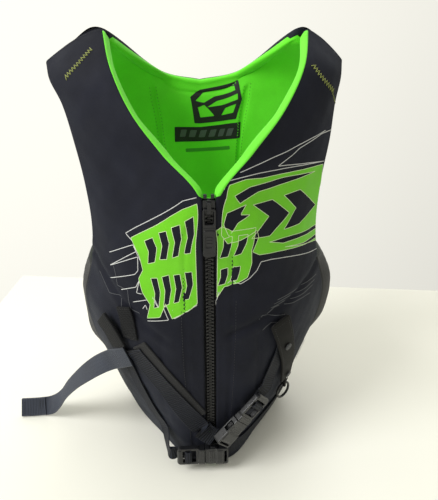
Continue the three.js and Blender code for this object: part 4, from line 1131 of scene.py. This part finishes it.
green, pale = [], []
for key, (s, outline, holes) in SHAPES.items():
    green.append(film([outline] + holes, "F", s, 0.05, 0.22))
    for lp in [outline] + holes:
        pale.append(hairline("F", s, lp, 0.55, 0.20, 0.32, closed=True))
merge_print("print_blocks", green, M["green"])
merge_print("print_outlines", pale, M["pale"])
merge_print("print_hairlines", [hairline("F", s, p, 0.75, 0.05, 0.2) for s, p in LINES.values()], M["white"])
merge_print("print_grey_lines", [hairline("F", s, p, 0.6, 0.05, 0.16) for s, p in GREY.values()], M["grey"])

# ------------------------------------------------------------------ seams and stitches
def face_line(which, s, path, h, step=1.0, spline=True):
    uv = uv_path(which, s, path, step, spline)
    return on_face(which, s, uv[:, 0], uv[:, 1], h)[0]


runs = []
runs += stitch_run(face_line("F", -1, [(0.150, 0.3), (0.155, 3.0), (0.155, 4.6)], 0.12), 3.6, 2.4, 0.24)
runs += stitch_run(face_line("F", 1, [(0.130, 0.3), (0.135, 3.0), (0.14, 4.8)], 0.12), 3.6, 2.4, 0.2)
for s in (-1, 1):
    runs += stitch_run(face_line("F", s, [(0.975, 0.2), (0.975, 2.5), (0.975, 4.9)], 0.1), 3.4, 2.3, 0.2)
    runs += stitch_run(face_line("B", s, [(0.975, 0.2), (0.975, 2.5), (0.975, 4.9)], 0.1), 3.4, 2.3, 0.2)
    runs += stitch_run(face_line("F", s, [(0.03, 10.93), (0.5, 10.93), (0.97, 10.93)], 0.1), 3.4, 2.3, 0.2)
    runs += stitch_run(face_line("B", s, [(0.52, 10.93), (0.75, 10.93), (0.97, 10.93)], 0.1), 3.4, 2.3, 0.2)
v, f, uv = join(runs)
finish_mesh("seam_stitches", v, f, slot="neoprene_black", mat=M["thread_grey"])

# zigzag bar tacks near the shoulders
tacks = []
for s, a, b in ((-1, (0.725, 9.80), (0.288, 10.48)), (1, (0.312, 10.0), (0.825, 9.32))):
    line = uv_path("F", s, [a, b], 0.4)
    P, n = on_face("F", s, line[:, 0], line[:, 1], 0.25)
    L = np.concatenate([[0], np.cumsum(np.linalg.norm(np.diff(P, axis=0), axis=1))])
    t = np.arange(0, L[-1], 1.75)
    C = np.stack([np.interp(t, L, P[:, c]) for c in range(3)], 1)
    N = unit(np.stack([np.interp(t, L, n[:, c]) for c in range(3)], 1))
    side = unit(np.cross(N, unit(np.gradient(C, axis=0))))
    Z = C + side * (2.7 * np.where(np.arange(len(t)) % 2, 1, -1))[:, None]
    dense = np.concatenate([np.linspace(p, q, 3, endpoint=False) for p, q in zip(Z[:-1], Z[1:])] + [Z[-1:]])
    tacks.append(tube(dense, 0.46, 6))
    if s > 0:
        e = Z[-1]
        tacks.append(tube([e, e + [1.5, -0.6, -2.5], e + [2.2, -1.0, -6.0], e + [4.0, -0.8, -9.0]], 0.3, 6))
v, f, uv = join(tacks)
finish_mesh("shoulder_tacks", v, f, angle=180, slot="neoprene_black", mat=M["thread"])

# stitches along the hinges of the back lining
runs = []
for s in (-1, 1):
    for off in (-0.026, 0.026):
        vline = np.linspace(4.6, 9.5, 200)
        P = on_lining(s, np.full_like(vline, HINGE + off), vline, 0.15)
        runs += stitch_run(P, 4.2, 1.8, 0.26)
v, f, uv = join(runs)
finish_mesh("hinge_stitches", v, f, slot="lining_green", mat=M["thread_green"])


# ------------------------------------------------------------------ green binding round the neckline of the front panels
for s in (-1, 1):
    vs = np.concatenate([np.linspace(6.93, 7.4, 24), np.linspace(7.42, 10.97, 190)])
    start = 4.6 if s > 0 else 2.6
    rows_o, rows_i = [], []
    outer_d = np.linspace(start, 0, 7)
    inner_d = np.concatenate([np.linspace(0, 4, 7)[1:], np.linspace(5, 15.5, 9)])
    P0 = raw("F", s, np.zeros_like(vs), vs)[:, :3]
    P1 = raw("F", s, np.full_like(vs, 0.1), vs)[:, :3]
    W = np.linalg.norm(P1 - P0, axis=1) / 0.1
    side_dir = unit(P0 - P1)
    grow = smooth((vs - 6.93) / 0.25) * smooth((10.99 - vs) / 0.1)
    for thick in (0, 1):
        cols = []
        lift = 1.0 * (1 - thick) - 0.4 * thick
        for k, d in enumerate(outer_d):
            q = shell("F", s, d / W, vs)
            e = lift * min(1, (k + 0.4) / 2.0) + (0 if thick else 0.02)
            cols.append(put_at(q, face_off(q) - e * grow + (1 - grow) * 0.6) + side_dir * (lift * 0.7 * smooth((k - 2) / 4.0)) * grow[:, None])
        q0 = shell("F", s, np.zeros_like(vs), vs)
        a_, b_ = face_off(q0), lining_in(q0)
        for w_ in (0.25, 0.5, 0.75):
            cols.append(put_at(q0, a_ + (b_ - a_) * w_) + side_dir * (lift + 0.9 * math.sin(math.pi * w_) * (1 - thick)) * grow[:, None])
        for k, d in enumerate(inner_d):
            q = shell("F", s, d / W, vs)
            e = lift * min(1.0, (len(inner_d) - k - 0.6) / 2.0)
            cols.append(put_at(q, np.maximum(lining_in(q), split(q) + 1.25) + e * grow - (1 - grow) * 0.6) + side_dir * (lift * 0.7 * smooth((4 - k) / 4.0)) * grow[:, None])
        (rows_i if thick else rows_o).append(np.stack(cols, 1))
    sl = slab(rows_o[0], rows_i[0])
    finish_mesh(f"{side_name[s]}_neck_binding", *sl[:2], uv=sl[2], angle=70, slot="lining_green", mat=M["bind"])

# a soft strip under the wide belt, with a row of light stitches along its upper edge
(sl, topb) = tab("F", -1, [[0.455, 3.5], [0.40, 3.24], [0.335, 2.92], [0.25, 2.53], [0.15, 2.07], [0.06, 1.72]], 24, 0.5, 1.3, steps=150, corner=2.0)
finish_mesh("belt_backing", *sl[:2], uv=sl[2], angle=60, slot="patch_dark", mat=M["side"])
col = 2 if topb[75, 2, 2] > topb[75, -3, 2] else -3
v, f, uv = join(stitch_run(topb[4:-4, col], 3.4, 2.0, 0.32))
finish_mesh("belt_backing_stitches", v, f, slot="patch_dark", mat=M["thread_grey"])

# ------------------------------------------------------------------ emblem on the back lining: a plain slanted shield over a bar
def lining_film(loops, h0, h1):
    """loops in (w, v) with w signed across the back; the centre line is crossed in one piece."""
    def point(u, v, h):
        s = np.where(u < 0, -1, 1)
        out = np.zeros((len(u), 3))
        for k in (-1, 1):
            m = s == k
            if m.any():
                out[m] = on_lining(k, np.abs(u[m]), v[m], h)
        return out
    return film(loops, "B", 1, h0, h1, step=1.4, point=point)


shield = [(-0.07, 9.30), (0.0, 9.78), (0.275, 10.0), (0.345, 8.95), (0.32, 8.22), (-0.05, 8.16)]
cuts = [[(-0.035, 9.12), (0.02, 9.55), (0.25, 9.72), (0.27, 9.45), (0.10, 9.30), (0.03, 9.02)],
        [(0.05, 8.80), (0.12, 9.06), (0.30, 9.25), (0.31, 8.98), (0.17, 8.84)],
        [(-0.02, 8.82), (0.03, 8.92), (0.11, 8.42), (0.0, 8.40)],
        [(0.17, 8.42), (0.20, 8.70), (0.30, 8.80), (0.285, 8.46)]]
v, f, uv = join([lining_film([shield] + cuts, 0.05, 0.22), lining_film([[(-0.235, 7.98), (0.365, 8.10), (0.375, 7.56), (-0.25, 7.48)]], 0.05, 0.22)])
finish_mesh("emblem", v, f, uv=uv, angle=40, slot="lining_green", mat=M["black"])
bars = [lining_film([[(x, 7.90 - 0.0 * x), (x + 0.055, 7.91), (x + 0.035, 7.66), (x - 0.02, 7.65)]], 0.24, 0.34) for x in np.arange(-0.17, 0.30, 0.085)]
v, f, uv = join(bars)
finish_mesh("emblem_bars", v, f, uv=uv, angle=40, slot="lining_green", mat=M["grey"])
v, f, uv = join([lining_film([[(-0.14, 7.27), (0.28, 7.33), (0.285, 7.22), (-0.14, 7.16)]], 0.04, 0.14)])
finish_mesh("size_bar", v, f, uv=uv, angle=40, slot="lining_green", mat=M["dim"])

# ------------------------------------------------------------------ zip
def loft(sections):
    """Closed body through rings with the same number of points."""
    S = np.asarray(sections, float)
    n, k = S.shape[:2]
    F = [[i * k + t, i * k + (t + 1) % k, (i + 1) * k + (t + 1) % k, (i + 1) * k + t] for i in range(n - 1) for t in range(k)]
    F += [list(range(k))[::-1], [(n - 1) * k + t for t in range(k)]]
    return S.reshape(-1, 3), F, None


def rrect(hx, hy, r, k=3):
    out = []
    for cx, cy, a0 in ((hx - r, hy - r, 0), (-hx + r, hy - r, 90), (-hx + r, -hy + r, 180), (hx - r, -hy + r, 270)):
        for i in range(k):
            a = math.radians(a0 + 90 * i / (k - 1))
            out.append((cx + r * math.cos(a), cy + r * math.sin(a)))
    return out


count = int((ZIP_Z1 - ZIP_Z0) / TOOTH_PITCH)
yc = Y_TOOTH + 1.6
for s in (-1, 1):
    n = side_name[s]
    parts = []
    for k in range(count):
        z = ZIP_Z0 + (k + (0.5 if s > 0 else 0)) * TOOTH_PITCH + 0.8
        secs = []
        for x, hz, hy in ((4.35, 0.9, 1.5), (4.1, 1.35, 2.05), (2.4, 1.35, 2.05), (1.7, 1.0, 1.75), (0.2, 0.82, 1.6), (-0.7, 0.95, 1.7), (-1.5, 0.95, 1.65), (-1.95, 0.55, 1.15)):
            secs.append([(s * x, yc - 0.15 + b, z + a) for a, b in rrect(hz, hy, min(hz, hy) * 0.55)])
        parts.append(loft(secs))
    zz = np.linspace(ZIP_Z0 - 9, ZIP_TOP, 80)
    parts.append(tube(np.stack([np.full_like(zz, s * 3.45), np.full_like(zz, yc + 0.1), zz], 1), 1.15, 10))
    v, f, uv = join(parts)
    finish_mesh(f"zip_row_{n}", v, f, angle=40, slot="zip_plastic", mat=M["zip"], nodes=(f"zip_teeth_{n}",))
    # woven tape with a turned edge
    zz = np.linspace(14, ZIP_TOP + 1, 120)
    xs = np.array([4.45, 4.7, 5.2, 6.0, 6.9, 7.3, 7.45])
    g0 = np.stack([np.stack([s * xs, np.full(7, Y_TAPE + 0.28) + np.array([0.3, 0.1, 0, 0.03, 0, 0.1, 0.3]), np.full(7, z)], -1) for z in zz])
    g1 = g0 + [0, 0.85, 0]
    g1[:, 0, 1] -= 0.5; g1[:, -1, 1] -= 0.5
    sl = slab(g0, g1)
    finish_mesh(f"zip_tape_{n}_cloth", *sl[:2], uv=sl[2], slot="zip_tape", mat=M["tape"], nodes=(f"zip_tape_{n}",))
# backing flap behind the zip: a padded strip
zz = np.linspace(3, 350, 150)
xs = np.array([-6.0, -5.6, -4.6, -2.5, 0, 2.5, 4.6, 5.6, 6.0])
h = np.array([0.15, 0.5, 0.72, 0.8, 0.82, 0.8, 0.72, 0.5, 0.15])
ym = ZIP_Y + 7.65
g0 = np.stack([np.stack([xs, ym - h * (1 + 0.06 * math.sin(z * 0.4)), np.full(9, z)], -1) for z in zz])
g1 = np.stack([np.stack([xs, ym + h, np.full(9, z)], -1) for z in zz])
sl = slab(g0, g1)
finish_mesh("zip_flap", *sl[:2], uv=sl[2], slot="lining_green", mat=M["lining"], nodes=("zip_backing_flap",))


# ------------------------------------------------------------------ moulded parts
def moulded(name, node, body, slot, mat, voxel=0.42, extras=(), soften=4, keep=0.5, angle=180):
    """The CAD node's form with softly rounded edges and moulded detail: extras are (verts, faces) in mm."""
    src = frame["nodes"][node]
    bm = bmesh.new()
    bm.from_mesh(src.data)
    bmesh.ops.remove_doubles(bm, verts=bm.verts, dist=1e-6)
    me = bpy.data.meshes.new(name)
    bm.to_mesh(me)
    bm.free()
    ob = bpy.data.objects.new(name, me)
    bpy.context.scene.collection.objects.link(ob)
    for k, (v, f, _) in enumerate(extras):
        co = (np.asarray(v, float) + SHIFT) / 1000
        m2 = bpy.data.meshes.new("x")
        m2.from_pydata(co.tolist(), [], [list(map(int, x)) for x in f])
        b2 = bmesh.new()
        b2.from_mesh(me)
        b2.from_mesh(m2)
        b2.to_mesh(me)
        b2.free()
        bpy.data.meshes.remove(m2)
    md = ob.modifiers.new("r", "REMESH")
    md.mode, md.voxel_size, md.use_smooth_shade = "VOXEL", voxel / 1000, True
    sm = ob.modifiers.new("s", "SMOOTH")
    sm.factor, sm.iterations = 0.5, soften
    dc = ob.modifiers.new("d", "DECIMATE")
    dc.ratio = keep
    dg = bpy.context.evaluated_depsgraph_get()
    new = bpy.data.meshes.new_from_object(ob.evaluated_get(dg))
    ob.modifiers.clear()
    ob.data = new
    new.name = name
    new.materials.clear()
    new.materials.append(mat)
    new.shade_smooth()
    if angle < 180:
        new.set_sharp_from_angle(angle=math.radians(angle))
    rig.ride(ob, body)
    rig.slot(ob, slot)
    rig.replaces(ob, node)
    MADE[name] = ob
    return ob


def bar3(o, ax, x0, x1, y0, y1, z0, z1):
    """A plain block in a buckle's own axes, used as moulded detail before rounding."""
    P = []
    for z in (z0, z1):
        for x, y in ((x0, y0), (x1, y0), (x1, y1), (x0, y1)):
            P.append(np.array(o, float) + ax[0] * x + ax[1] * y + ax[2] * z)
    F = [[0, 3, 2, 1], [4, 5, 6, 7], [0, 1, 5, 4], [1, 2, 6, 5], [2, 3, 7, 6], [3, 0, 4, 7]]
    P = np.array(P)
    if np.dot(np.cross(ax[0], ax[1]), ax[2]) < 0:
        F = [x[::-1] for x in F]
    return P, F, None


def axes_of(d, n):
    x = unit(np.array(d, float))
    z = np.array(n, float)
    z = unit(z - x * z.dot(x))
    return [x, np.cross(z, x), z]


UPPER = dict(o=np.array([35, -121.2, 75.6]), ax=axes_of([57, 23.5, 51.5], [0.45, -0.86, -0.1]), ls=35, lp=39, w=26, t=10)
LOWER = dict(o=np.array([-8, -123.7, 27.0]), ax=axes_of([-1, 0, 0], [0, -1, 0]), ls=28, lp=33, w=26, t=10.4)


def loc(b, x, y, z):
    return b["o"] + b["ax"][0] * x + b["ax"][1] * y + b["ax"][2] * z


for nm, b in (("upper", UPPER), ("lower", LOWER)):
    h, T, L, lp = b["w"] / 2, b["t"], b["ls"], b["lp"]
    B = lambda *a: bar3(b["o"], b["ax"], *a)
    ex = [B(-L + 7, -L / 2 - 0.5, -h + 2.6, h - 2.6, T / 2 - 0.6, T / 2 + 0.7)]
    ex += [B(x, x + 1.0, -h + 3.5, h - 3.5, T / 2 - 1.6, T / 2 - 0.35) for x in (-L / 2 + 3.4, -L / 2 + 5.6, -L / 2 + 7.8)]
    moulded(f"{nm}_buckle_female", f"{nm}_buckle_socket", "vest", "buckle_plastic", M["buckle"], extras=ex)
    ex = [B(1.6, 2.6, -h + 2.2, h - 2.2, T / 2 - 1.2, T / 2 - 0.1), B(4.2, 5.2, -h + 2.2, h - 2.2, T / 2 - 1.2, T / 2 - 0.1)]
    moulded(f"{nm}_buckle_male", f"{nm}_buckle_plug", f"{nm}_plug", "buckle_plastic", M["buckle"], extras=ex)
    for a, sg in (("a", 1), ("b", -1)):
        ribs = [B(x, x + 0.8, *sorted((sg * (h - 1.2), sg * (h - 0.2))), -1.9, 1.9) for x in (-8.4, -10.2, -12.0)]
        moulded(f"{nm}_buckle_spring_{a}", f"{nm}_buckle_arm_{a}", f"{nm}_arm_{a}", "buckle_plastic", M["buckle"], voxel=0.35, soften=2, extras=ribs)

moulded("zip_car", "zip_slider", "zip_slider", "zip_plastic", M["slider"], voxel=0.28, soften=3)
zp = SLIDER_Z + 6.4
yp = Y_TOOTH - 0.35 - 2.1
AX = [np.array([1.0, 0, 0]), np.array([0, 0, 1.0]), np.array([0, -1.0, 0])]
ex = [bar3([0, yp, zp], AX, -5.4, 5.4, -21.2, -19.6, 0.2, 1.9), bar3([0, yp, zp], AX, -2.4, 2.4, -36.5, -35.3, 1.0, 2.1), bar3([0, yp, zp], AX, -2.4, 2.4, -33.3, -32.1, 1.0, 2.1), bar3([0, yp, zp], AX, -2.4, 2.4, -30.1, -28.9, 1.0, 2.1)]
moulded("zip_tab", "zip_pull", "zip_pull", "zip_plastic", M["slider"], voxel=0.3, soften=3, extras=ex)
for n in ("right", "left"):
    moulded(f"zip_stop_{n}", f"zip_top_stop_{n}", "vest", "zip_plastic", M["slider"], voxel=0.25, soften=3)
moulded("zip_box", "zip_retainer_box", "vest", "zip_plastic", M["slider"], voxel=0.25, soften=3)
moulded("zip_pin", "zip_insertion_pin", "vest", "zip_plastic", M["slider"], voxel=0.22, soften=3)

# ring and its tab
RC, RR, RT = np.array([97.5, -63.5, 67.5]), 10.8, 1.6
RN = unit(np.array([0.6, -0.8, 0])); RX = np.cross([0, 0, 1.0], RN)
a = np.linspace(0, 2 * np.pi, 97)[:-1]
P = RC + RR * (np.cos(a)[:, None] * RX + np.sin(a)[:, None] * np.array([0, 0, 1.0]))
v, f, uv = tube(P, RT, 18, closed=True)
finish_mesh("ring_body", v, f, angle=180, body="ring", slot="ring_plastic", mat=M["ring"], nodes=("lanyard_ring",))
moulded("ring_loop", "ring_tab", "vest", "coated_black", M["coated"], voxel=0.35, soften=3)


# ------------------------------------------------------------------ belts
def face_pts(s, path, lift):
    uv = np.array(path, float)
    P, n, *_ = surf("F", s, uv[:, 0], uv[:, 1])
    t = np.array([P[min(k + 1, len(P) - 1)] - P[max(k - 1, 0)] for k in range(len(P))])
    return P + n * lift, unit(np.cross(n, t))


def belt(name, s, path, lift, width, body, slot, mat, nodes=(), before=(), free=(), thick=WEB_T, extra=(), **kw):
    P, W = face_pts(s, path, lift)
    P = np.concatenate([np.array([p for p, _ in before]).reshape(-1, 3), P, np.array([p for p, _ in free]).reshape(-1, 3)])
    W = np.concatenate([np.array([w for _, w in before]).reshape(-1, 3), W, np.array([w for _, w in free]).reshape(-1, 3)])
    t = np.linspace(0, len(P) - 1, 30 * len(P))
    v, f, uv = join([strap(curve(P, t), unit(curve(W, t)), width, thick, **kw)] + list(extra))
    return finish_mesh(name, v, f, uv=uv, angle=60, body=body, slot=slot, mat=mat, nodes=nodes)


def threaded(b, width):
    """Webbing through a plug's ladder: a ribbed band along the same route as its solid."""
    c = [(52, -6.3), (44, -5.8), (37, -5.4), (34.6, -4.2), (33.5, -1), (33.3, 2.4), (31.8, 4.6), (27.2, 4.6), (25.5, 2.4), (25.2, -1.6), (23.4, -4.4), (20, -5)]
    c = [(x + b["lp"] - 42, z) for x, z in c]
    P = np.array([loc(b, x, 0, z) for x, z in c])
    L = resample(P, 0.5)
    k = np.ones(5) / 5
    S = np.stack([np.convolve(np.pad(L[:, i], 2, mode="edge"), k, "valid") for i in range(3)], 1)
    return strap(S, np.tile(b["ax"][1], (len(S), 1)), width, 1.25, pitch=2.4, amp=0.18)


wU, wL = UPPER["ax"][1], -LOWER["ax"][1]
down = np.array([-0.55, -0.1, -0.8])
belt("belt_upper_right", -1, [[0.495, 3.32], [0.475, 3.2], [0.395, 2.86], [0.305, 2.48], [0.195, 2.0], [0.085, 1.55]], 2.6, WEB_W, "vest", "webbing_black", M["web"],
     nodes=("upper_belt_right",), free=[([-6, -120.6, 59], down), ([4, -122.6, 52.5], down)], pitch=2.6, amp=0.75)
belt("belt_lower_right", -1, [[0.60, 3.1], [0.57, 2.75], [0.525, 2.1], [0.46, 1.44], [0.385, 0.95]], 2.4, 18, None, "webbing_black", M["web"],
     nodes=("lower_belt_right",), free=[(loc(LOWER, 43.5, 0, -7), wL), (loc(LOWER, 33, 0, -5.6), wL)], pitch=2.6, amp=0.6, extra=[threaded(LOWER, 18)])
belt("belt_upper_left", 1, [[0.428, 2.5], [0.455, 2.8], [0.485, 3.15], [0.50, 3.5]], 2.4, 21, None, "webbing_black", M["web"],
     nodes=("upper_belt_left",), before=[(loc(UPPER, 41, 0, -5.8), wU), (loc(UPPER, 50, 0, -6.2), wU)], pitch=2.6, amp=0.6, extra=[threaded(UPPER, 18)])
belt("belt_lower_left", 1, [[0.26, 0.62], [0.42, 0.7], [0.62, 0.85], [0.84, 1.05]], 2.2, 20, "vest", "webbing_black", M["web"],
     nodes=("lower_belt_left",), before=[(loc(LOWER, -22, 0, -6.9), wL), (loc(LOWER, -29, 0, -7.1), wL)], pitch=2.6, amp=0.6)

def row(p):
    return tuple(float(x) for x in (np.asarray(p, float) + SHIFT) / 1000.0)


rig.blend(MADE["belt_upper_left"], "vest", "upper_plug", start=row(face_pts(1, [[0.485, 3.15], [0.50, 3.5]], 2.4)[0][1]), end=row(loc(UPPER, 44, 0, -5)))
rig.blend(MADE["belt_lower_right"], "vest", "lower_plug", start=row(face_pts(-1, [[0.525, 2.1], [0.46, 1.44]], 2.4)[0][0]), end=row(loc(LOWER, 40, 0, -5)))

# free end of the upper belt
TP = np.array([[-94, -91.8, 155], [-104.8, -82.4, 146], [-119, -68, 133], [-135, -58, 119], [-152, -50, 103], [-170, -42, 84], [-189, -32, 59], [-204, -23, 34], [-219, -16, 17.8], [-238, -12, 12], [-263, -12, 11.9]], float)
TW = np.array([[-0.39, 0.3, 0.85], [-0.39, 0.35, 0.84], [-0.34, 0.45, 0.8], [-0.3, 0.6, 0.7], [-0.25, 0.75, 0.6], [-0.1, 0.85, 0.5], [0, 0.85, 0.5], [0, 0.8, 0.55], [0, 0.65, 0.75], [0, 0.5, 0.86], [0, 0.5, 0.86]], float)
t = np.linspace(0, 10, 500)
TC, TD = curve(TP, t), unit(curve(TW, t))
parts = [strap(TC, TD, WEB_W, WEB_T, pitch=2.2, amp=0.3)]
# the end folded back on itself and sewn
k = t > 8.55
N = unit(np.cross(unit(np.gradient(TC, axis=0)), TD))
sgn = 1 if N[-1, 1] < 0 else -1
parts.append(strap((TC + N * sgn * 1.55)[k], TD[k], WEB_W - 0.6, 1.4, pitch=2.2, amp=0.3))
v, f, uv = join(parts)
finish_mesh("belt_tail", v, f, uv=uv, angle=60, slot="webbing_grey", mat=M["web2"], nodes=("upper_belt_tail",))
runs = []
for a0, a1, yy0, yy1 in ((8.75, 8.75, -10, 10), (8.95, 8.95, -10, 10), (9.85, 9.85, -10, 10)):
    c = curve(TC, np.array([a0 / 10 * 499]))[0]
    w_ = curve(TD, np.array([a0 / 10 * 499]))[0]
    n_ = curve(N, np.array([a0 / 10 * 499]))[0] * sgn
    line = np.linspace(c + w_ * yy0 + n_ * 2.35, c + w_ * yy1 + n_ * 2.35, 20)
    runs += stitch_run(line, 2.6, 1.9, 0.3)
v, f, uv = join(runs)
finish_mesh("belt_tail_stitches", v, f, slot="webbing_grey", mat=M["thread_black"])

# ------------------------------------------------------------------ tabs, keepers and snaps
(sl, top) = tab("F", -1, [[0.725, 3.92], [0.645, 3.66], [0.59, 3.3]], 27, 5.2, 2.8, ribs=0.25, pitch=2.2, corner=2.0, bend=lambda t, x: 0.0 * t)
finish_mesh("belt_tab_right", *sl[:2], uv=sl[2], angle=60, slot="patch_dark", mat=M["patch"], nodes=("right_belt_tab",))
tabst = []
for col in (3, -4):
    tabst += stitch_run(top[3:-3, col] + 0.0, 3.0, 2.0, 0.25)
(sl, top2) = tab("F", -1, [[0.555, 4.42], [0.52, 4.1], [0.505, 3.62]], 21, 1.2, 1.6, corner=1.5, bend=lambda t, x: 0.22 * np.sin(x * 1.3) * np.sin(t * 40))
finish_mesh("belt_keeper_right", *sl[:2], uv=sl[2], angle=60, slot="patch_dark", mat=M["patch"], nodes=("right_keeper",))
for row in (4, -5):
    tabst += stitch_run(top2[row, 2:-2], 2.8, 1.9, 0.25)
(sl, top3) = tab("F", 1, [[0.43, 4.1], [0.506, 3.27], [0.56, 2.7], [0.612, 2.0]], 26, 4.6, 2.0, shape=lambda t: 1 - 0.2 * t, steps=110, corner=4.0)
finish_mesh("keeper_left", *sl[:2], uv=sl[2], angle=60, slot="coated_black", mat=M["coated"], nodes=("left_keeper",))
tabst += stitch_run(top3[3:-3, 3], 3.0, 2.0, 0.24) + stitch_run(top3[3:-3, -4], 3.0, 2.0, 0.24) + stitch_run(top3[5, 3:-3], 3.0, 2.0, 0.24)
v, f, uv = join(tabst)
finish_mesh("tab_stitches", v, f, slot="coated_black", mat=M["thread_black"])
(sl, top4) = tab("F", 1, [[0.84, 2.05], [0.84, 2.5]], 15, 1.2, 0.5, steps=30, edge=0.4, corner=0.8, bend=lambda t, x: 0.25 * np.sin(t * 7) * 1.0)
finish_mesh("label_blank", *sl[:2], uv=sl[2], angle=60, slot="label_white", mat=M["label"], nodes=("care_label",))


def lathe(profile, o, up, k=40):
    up = unit(np.asarray(up, float))
    x = unit(np.cross([0, 0, 1.0], up)); y = np.cross(up, x)
    V, F = [], []
    for r, h in profile:
        for i in range(k):
            a = 2 * np.pi * i / k
            V.append(np.asarray(o) + up * h + r * (math.cos(a) * x + math.sin(a) * y))
    n = len(profile)
    for j in range(n - 1):
        for i in range(k):
            F.append([j * k + i, j * k + (i + 1) % k, (j + 1) * k + (i + 1) % k, (j + 1) * k + i])
    F += [list(range(k))[::-1], [(n - 1) * k + i for i in range(k)]]
    return np.array(V), F, None


for nm, (u, v_) in (("upper", (0.506, 3.27)), ("lower", (0.60, 2.2))):
    P, n, *_ = surf("F", 1, np.array([u]), np.array([v_]))
    prof = [(4.5, 0), (4.6, 0.25), (4.55, 0.8), (4.25, 1.25), (3.8, 1.5), (3.45, 1.45), (3.2, 1.15), (2.9, 1.1), (2.6, 1.25), (1.9, 1.45), (1.2, 1.5), (0.9, 1.4), (0.7, 1.2), (0.3, 1.15)]
    vv_, ff_, _ = lathe(prof, P[0] + n[0] * 7.85, n[0])
    finish_mesh(f"snap_{nm}", vv_, ff_, angle=50, slot="snap_black", mat=M["snap"], nodes=(f"left_keeper_snap_{nm}",))

# ------------------------------------------------------------------ floor, light and camera
me = bpy.data.meshes.new("floor")
top_z, low_z = 0.0, -0.03
out = [(-0.3440, 0.4300), (-0.60, -3.0), (4.5, -3.0), (4.5, -0.287)]
pts = [(x, y, top_z) for x, y in out] + [(x, y, low_z) for x, y in out]
me.from_pydata(pts, [], [(0, 1, 2, 3), (7, 6, 5, 4), (0, 4, 5, 1), (1, 5, 6, 2), (2, 6, 7, 3), (3, 7, 4, 0)])
floor = bpy.data.objects.new("floor", me)
bpy.context.scene.collection.objects.link(floor)
md = floor.modifiers.new("edge", "BEVEL")
md.width, md.segments = 0.003, 3
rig.stage(floor)
fm, nt, p, tc = shader("floor_white", 0.38, 0.4)
tone(nt, p, tc.outputs["Object"], (0.875, 0.87, 0.79), 0.012, 3.0)
floor.data.materials.append(fm)

world = bpy.data.worlds.new("studio")
bpy.context.scene.world = world
world.use_nodes = True
wt = world.node_tree
bg = wt.nodes["Background"]
tcw = wt.nodes.new("ShaderNodeTexCoord")
sep = wt.nodes.new("ShaderNodeSeparateXYZ")
wt.links.new(tcw.outputs["Generated"], sep.inputs[0])
v0 = maths(wt, "MULTIPLY", sep.outputs["X"], -0.22)
v1 = maths(wt, "MULTIPLY", sep.outputs["Y"], 0.33)
v2 = maths(wt, "MULTIPLY", sep.outputs["Z"], 0.12)
val = maths(wt, "ADD", maths(wt, "ADD", v0, v1), maths(wt, "ADD", v2, 0.68))
bg.inputs["Color"].default_value = (1.0, 0.985, 0.90, 1)
wt.links.new(val, bg.inputs["Strength"])


def area(name, loc_, aim, size, power, color=(1, 1, 1)):
    L = bpy.data.lights.new(name, "AREA")
    L.shape, L.size, L.energy, L.color = "DISK", size, power, color
    o = bpy.data.objects.new(name, L)
    o.location = loc_
    o.rotation_euler = (Vector(aim) - Vector(loc_)).to_track_quat("-Z", "Y").to_euler()
    bpy.context.scene.collection.objects.link(o)
    return o


area("key", (-1.5, -0.7, 1.8), (0.03, 0, 0.2), 1.1, 38)
area("rim", (0.6, 1.2, 1.9), (0.03, 0, 0.2), 1.2, 8)

cam = bpy.data.cameras.new("camera")
cam.sensor_width, cam.lens = 36.0, 455.0 / 500.0 * 36.0
camo = bpy.data.objects.new("camera", cam)
camo.location = (0.0320, -0.5040, 0.490)
camo.rotation_mode = "QUATERNION"
a, e = math.radians(4.2), math.radians(25.3)
camo.rotation_quaternion = Vector((math.sin(a) * math.cos(e), math.cos(a) * math.cos(e), -math.sin(e))).to_track_quat("-Z", "Y")
cam.clip_start, cam.clip_end = 0.01, 50
bpy.context.scene.collection.objects.link(camo)
bpy.context.scene.camera = camo
bpy.context.scene.view_settings.view_transform = "Standard"

lo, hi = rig.bounds()
json.dump({"cad": [list(CAD_BOX[0]), list(CAD_BOX[1])], "visual": [list(lo), list(hi)]}, open("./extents.json", "w"))
